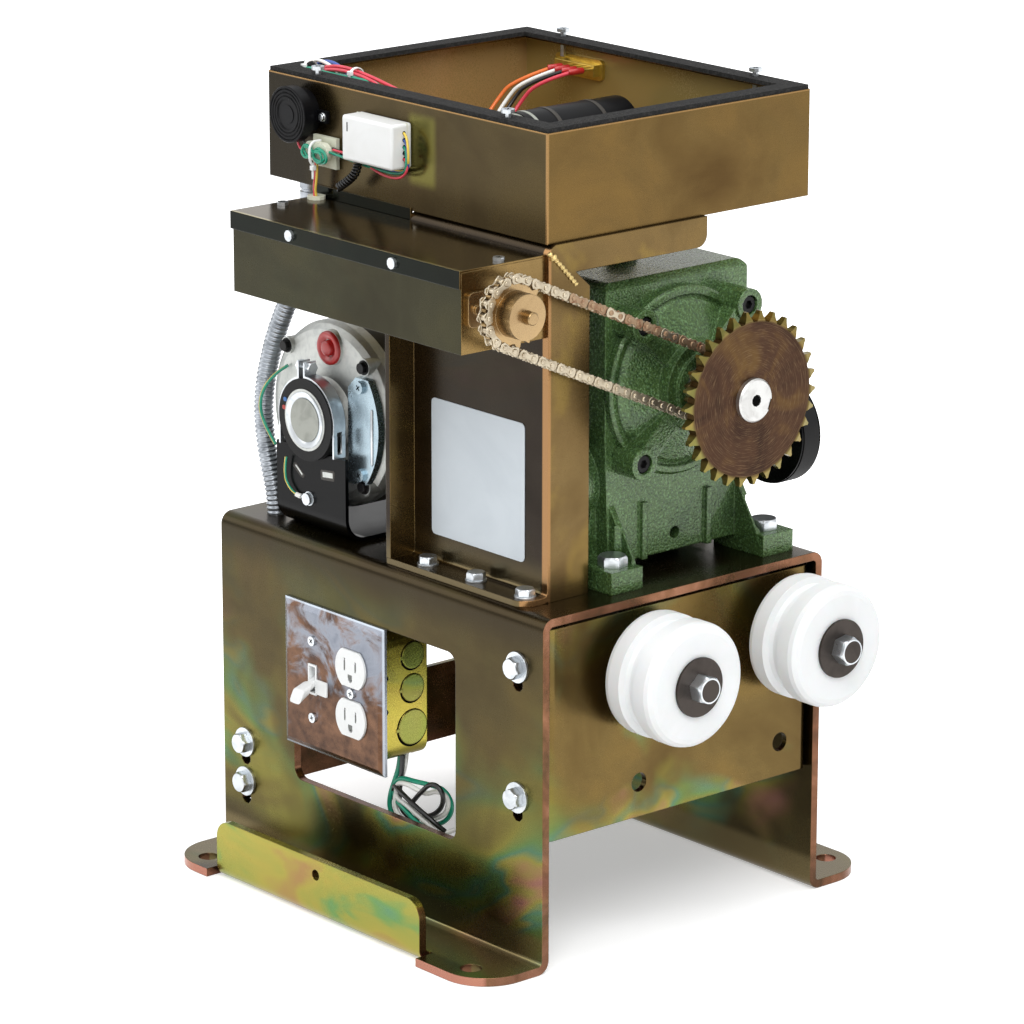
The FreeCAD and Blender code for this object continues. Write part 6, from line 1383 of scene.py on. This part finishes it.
class GATE_OT_control_leads(bpy.types.Operator):
    """Leads of the receiver, the tied spare lead, the drop to the limit box and the bundle in the tray"""

    bl_idname = "gate_operator.control_leads"
    bl_label = "Control leads"

    def execute(self, context):
        thick = settings().wiring.control_lead / MM
        for colour, runs in CONTROL_LEADS.items():
            solids = ("control_leads",) if colour == "green" else ()
            insulated("control_leads_", colour, runs, thick, solids)
        for colour, runs in TRAY_BUNDLE.items():
            insulated("tray_bundle_", colour, runs, settings().wiring.bundle_lead / MM)
        spare = lobe((-86.4, 555), 9.6, 6.6, 180, 2.8, 0.55, -117.4, -119.4)
        spare += lobe((-100.2, 556.2), 6.6, 5.4, 0, 2.2, 0.5, -119, -117.4)
        wires("spare_lead", "green insulation", [spare], thick)

        look = settings().wiring
        run = [(-43.5, -116.2, 559.5), (-43.5, -116.2, 550.8), (-51.5, -119.4, 541.7), (-61.5, -120.7, 535.8)]
        size = look.aerial / MM / 2
        spring = Shape()
        spring.tube(helix(run, size - 0.8, 2.5), 0.8, 8)
        spring.tube(along(run, 1), size - 2.2, 12)
        spring.make("coiled_aerial", "spring black", slot="black_polymer", angle=80)

        ties = Shape()
        band = [(-93.6, -110.4, 564.6), (-93.6, -116.6, 565.4), (-93.4, -121.2, 562), (-93.2, -121.8, 556)]
        band += [(-93, -121.2, 549), (-92.9, -117.2, 545.6)]
        ties.tube(along(band, 1.2), 1, 10)
        ties.box((-94.8, -91), (-120.4, -116.8), (543.4, 547))
        ties.box((-94, -92), (-119.4, -118.4), (536.8, 544))
        for x, z in ((-146.5, 606.2), (-92, 608.4)):
            ties.lathe("X", (-79, z), [(x, 6.2), (x, 7.2), (x + 2.6, 7.2), (x + 2.6, 6.2)], 28, closed=True)
            ties.box((x - 0.8, x + 3.4), (-86.4, -83.2), (z + 1.6, z + 4.8))
        ties.make("lead_ties", "white moulding", slot="white_polymer", bevel=0.35, angle=60)
        return {"FINISHED"}


POWER_LEADS = {
    "orange": (-126, -128, -127, -120, -98),
    "white": (-116, -118, -118, -110, -90),
    "black": (-106, -110, -111, -102, -82),
    "red": (-96, -102, -102, -92, -74),
}


class GATE_OT_power_leads(bpy.types.Operator):
    """Capacitor leads with their sleeves, the terminal block, and the bands and caps of the capacitors"""

    bl_idname = "gate_operator.power_leads"
    bl_label = "Power leads"

    def execute(self, context):
        thick = settings().wiring.power_lead / MM
        sleeves = Shape()
        for index, (colour, stations) in enumerate(POWER_LEADS.items()):
            run = list(zip(stations, (58, 74, 90, 98, 118), (531.2, 548, 566, 579.0 + index, 590)))
            solids = ("capacitor_leads",) if colour == "red" else ()
            insulated("power_lead_", colour, [run], thick, solids)
            x, _, z = run[-1]
            sleeves.tube([(x - 1.4, 115.6, z), (x, 118, z), (x, 128.6, z)], [2.3, 2.6, 2.5], 16)
        sleeves.make("terminal_sleeves", "red moulding", slot="red_polymer", bevel=0.3)
        block = Shape()
        low, high = (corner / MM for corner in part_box("terminal_strip"))
        block.rounded("Y", (low.x + 5.2, high.x - 3.6), (low.z + 3.6, high.z - 3.6), 138.6, 143, 1)
        block.make("terminal_block", "gold frame", slot="cream_polymer", bevel=0.4)
        dome = [(143.6, 0), (143.6, 2.9), (142.4, 2.6), (141.6, 1.6), (141.4, 0)]
        screw = Shape().lathe("Y", (low.x + 6, 588), dome, 28)
        screw.make("terminal_strip_screw", "bright zinc", slot="bright_zinc")
        bands, caps = Shape(), Shape()
        for x, z, size, start in ((-24, 554.2, 50, 19), (34, 551.2, 44, 39)):
            for y in (start + 26, start + 70):
                inner, outer = size / 2 - 0.5, size / 2 + 0.5
                profile = [(y, inner), (y, outer), (y + 3.6, outer), (y + 3.6, inner)]
                bands.lathe("Y", (x, z), profile, 56, closed=True)
            r = size / 2
            profile = [(start - 5.2, 0), (start - 5.2, r - 3.4), (start - 4, r - 1.2)]
            profile += [(start + 9, r + 0.35), (start + 9.4, 0)]
            caps.lathe("Y", (x, z), profile, 64)
        bands.make("capacitor_bands", "motor enamel", slot="black_polymer", bevel=0.2)
        caps.make("capacitor_caps", "hazy cap", slot="black_polymer", bevel=0.3)
        return {"FINISHED"}


class GATE_OT_stage(bpy.types.Operator):
    """Floor, backdrop, lamps and camera"""

    bl_idname = "gate_operator.stage"
    bl_label = "Stage"

    def execute(self, context):
        look = settings().stage
        scene = context.scene
        scene.view_settings.view_transform = "Standard"
        world = bpy.data.worlds.new("Studio")
        scene.world = world
        world.use_nodes = True
        g = Graph(world.node_tree)
        back = world.node_tree.nodes["Background"]
        path = g.add("LightPath")
        seen = g.math("MAXIMUM", path.outputs["Is Camera Ray"], path.outputs["Is Glossy Ray"])
        seen = g.math("MAXIMUM", seen, path.outputs["Is Transmission Ray"])
        g.feed(back.inputs["Color"], (1, 1, 1))
        g.feed(back.inputs["Strength"], g.math("MULTIPLY_ADD", seen, 1.0 - look.sky, look.sky))

        floor_look = bpy.data.materials.new("Paper floor")
        floor_look.use_nodes = True
        g = Graph(floor_look.node_tree)
        shader = floor_look.node_tree.nodes["Principled BSDF"]
        g.feed(shader.inputs["Base Color"], linear("#e9e9e9"))
        g.feed(shader.inputs["Roughness"], 0.9)
        path = g.add("LightPath")
        g.feed(shader.inputs["Emission Color"], (1, 1, 1))
        seen = g.math("MAXIMUM", path.outputs["Is Camera Ray"], path.outputs["Is Glossy Ray"])
        reach = g.add("VectorMath", {0: g.add("TexCoord").outputs["Object"]}, operation="LENGTH").outputs["Value"]
        # Painted shadow: the floor glows less near its middle, so it looks darker under the machine, on top of the real
        # shadow.
        floor_glow_and_painted_shadow = g.math("MULTIPLY_ADD", g.between(reach, 0.1, 0.6), 0.66, 0.34)
        g.feed(shader.inputs["Emission Strength"], g.times(seen, floor_glow_and_painted_shadow))
        sheet = bmesh.new()
        bmesh.ops.create_circle(sheet, cap_ends=True, radius=14, segments=64)
        bmesh.ops.translate(sheet, verts=sheet.verts, vec=(0, 0, -0.0004))
        data = bpy.data.meshes.new("floor")
        sheet.to_mesh(data)
        sheet.free()
        data.materials.append(floor_look)
        floor = bpy.data.objects.new("floor", data)
        scene.collection.objects.link(floor)

        for name, place, size, power in (
            ("key", (2.2, -1.6, 3), 2.4, look.key),
            ("fill", (-2.4, -2, 2), 2, look.key * 0.25),
            ("top", (0.3, 0.4, 3.2), 2.6, look.key * 0.45),
        ):
            lamp = bpy.data.lights.new(name, "AREA")
            lamp.shape, lamp.size, lamp.energy = "DISK", size, power
            holder = bpy.data.objects.new(name, lamp)
            holder.location = place
            aim = Vector((0, 0, 0.3)) - Vector(place)
            holder.rotation_euler = aim.to_track_quat("-Z", "Y").to_euler()
            scene.collection.objects.link(holder)

        # the camera's axes and place come from a fit to the straight edges of the reference photo
        view = bpy.data.cameras.new("camera")
        view.lens, view.sensor_width = look.lens, 36.0
        view.shift_x, view.shift_y = 0.00357, 0.0
        view.clip_start, view.clip_end = 0.1, 60.0
        eye = bpy.data.objects.new("camera", view)
        right = Vector((0.6533947, 0.7570167, 0.0010114))
        up = Vector((-0.2077776, 0.1780516, 0.9618348))
        out = Vector((0.7279449, -0.6286679, 0.2736291))
        turn = Matrix((right, up, out)).transposed()
        eye.matrix_world = Matrix.Translation(Vector((2.65688, -2.30376, 1.28131))) @ turn.to_4x4()
        scene.collection.objects.link(eye)
        scene.camera = eye
        return {"FINISHED"}


class GATE_PT_panel(bpy.types.Panel):
    """Lists the operators and settings of the gate operator"""

    bl_label = "Gate Operator"
    bl_idname = "GATE_PT_panel"
    bl_space_type = "VIEW_3D"
    bl_region_type = "UI"
    bl_category = "Operator"

    def draw(self, context):
        for step in STEPS:
            self.layout.operator(step.bl_idname)
        look = context.scene.gate_operator
        for group in (look.sheet, look.casting, look.drive, look.wiring, look.stage):
            box = self.layout.box()
            for name in group.__annotations__:
                box.prop(group, name)


GROUPS = (SheetSettings, CastingSettings, DriveSettings, WiringSettings, StageSettings, GateOperatorSettings)
STEPS = (
    GATE_OT_stage,
    GATE_OT_house_leads,
    GATE_OT_finishes,
    GATE_OT_limit_chain,
    GATE_OT_bolts,
    GATE_OT_screws,
    GATE_OT_axles,
    GATE_OT_column,
    GATE_OT_motor,
    GATE_OT_conduit,
    GATE_OT_outlet_box,
    GATE_OT_receiver,
    GATE_OT_buzzer,
    GATE_OT_control_leads,
    GATE_OT_power_leads,
)


def register():
    for one in GROUPS + STEPS + (GATE_PT_panel,):
        bpy.utils.register_class(one)
    bpy.types.Scene.gate_operator = bpy.props.PointerProperty(type=GateOperatorSettings)


def unregister():
    del bpy.types.Scene.gate_operator
    for one in reversed(GROUPS + STEPS + (GATE_PT_panel,)):
        bpy.utils.unregister_class(one)


def main():
    register()
    for step in STEPS:
        family, name = step.bl_idname.split(".")
        getattr(getattr(bpy.ops, family), name)()


if __name__ == "__main__":
    main()
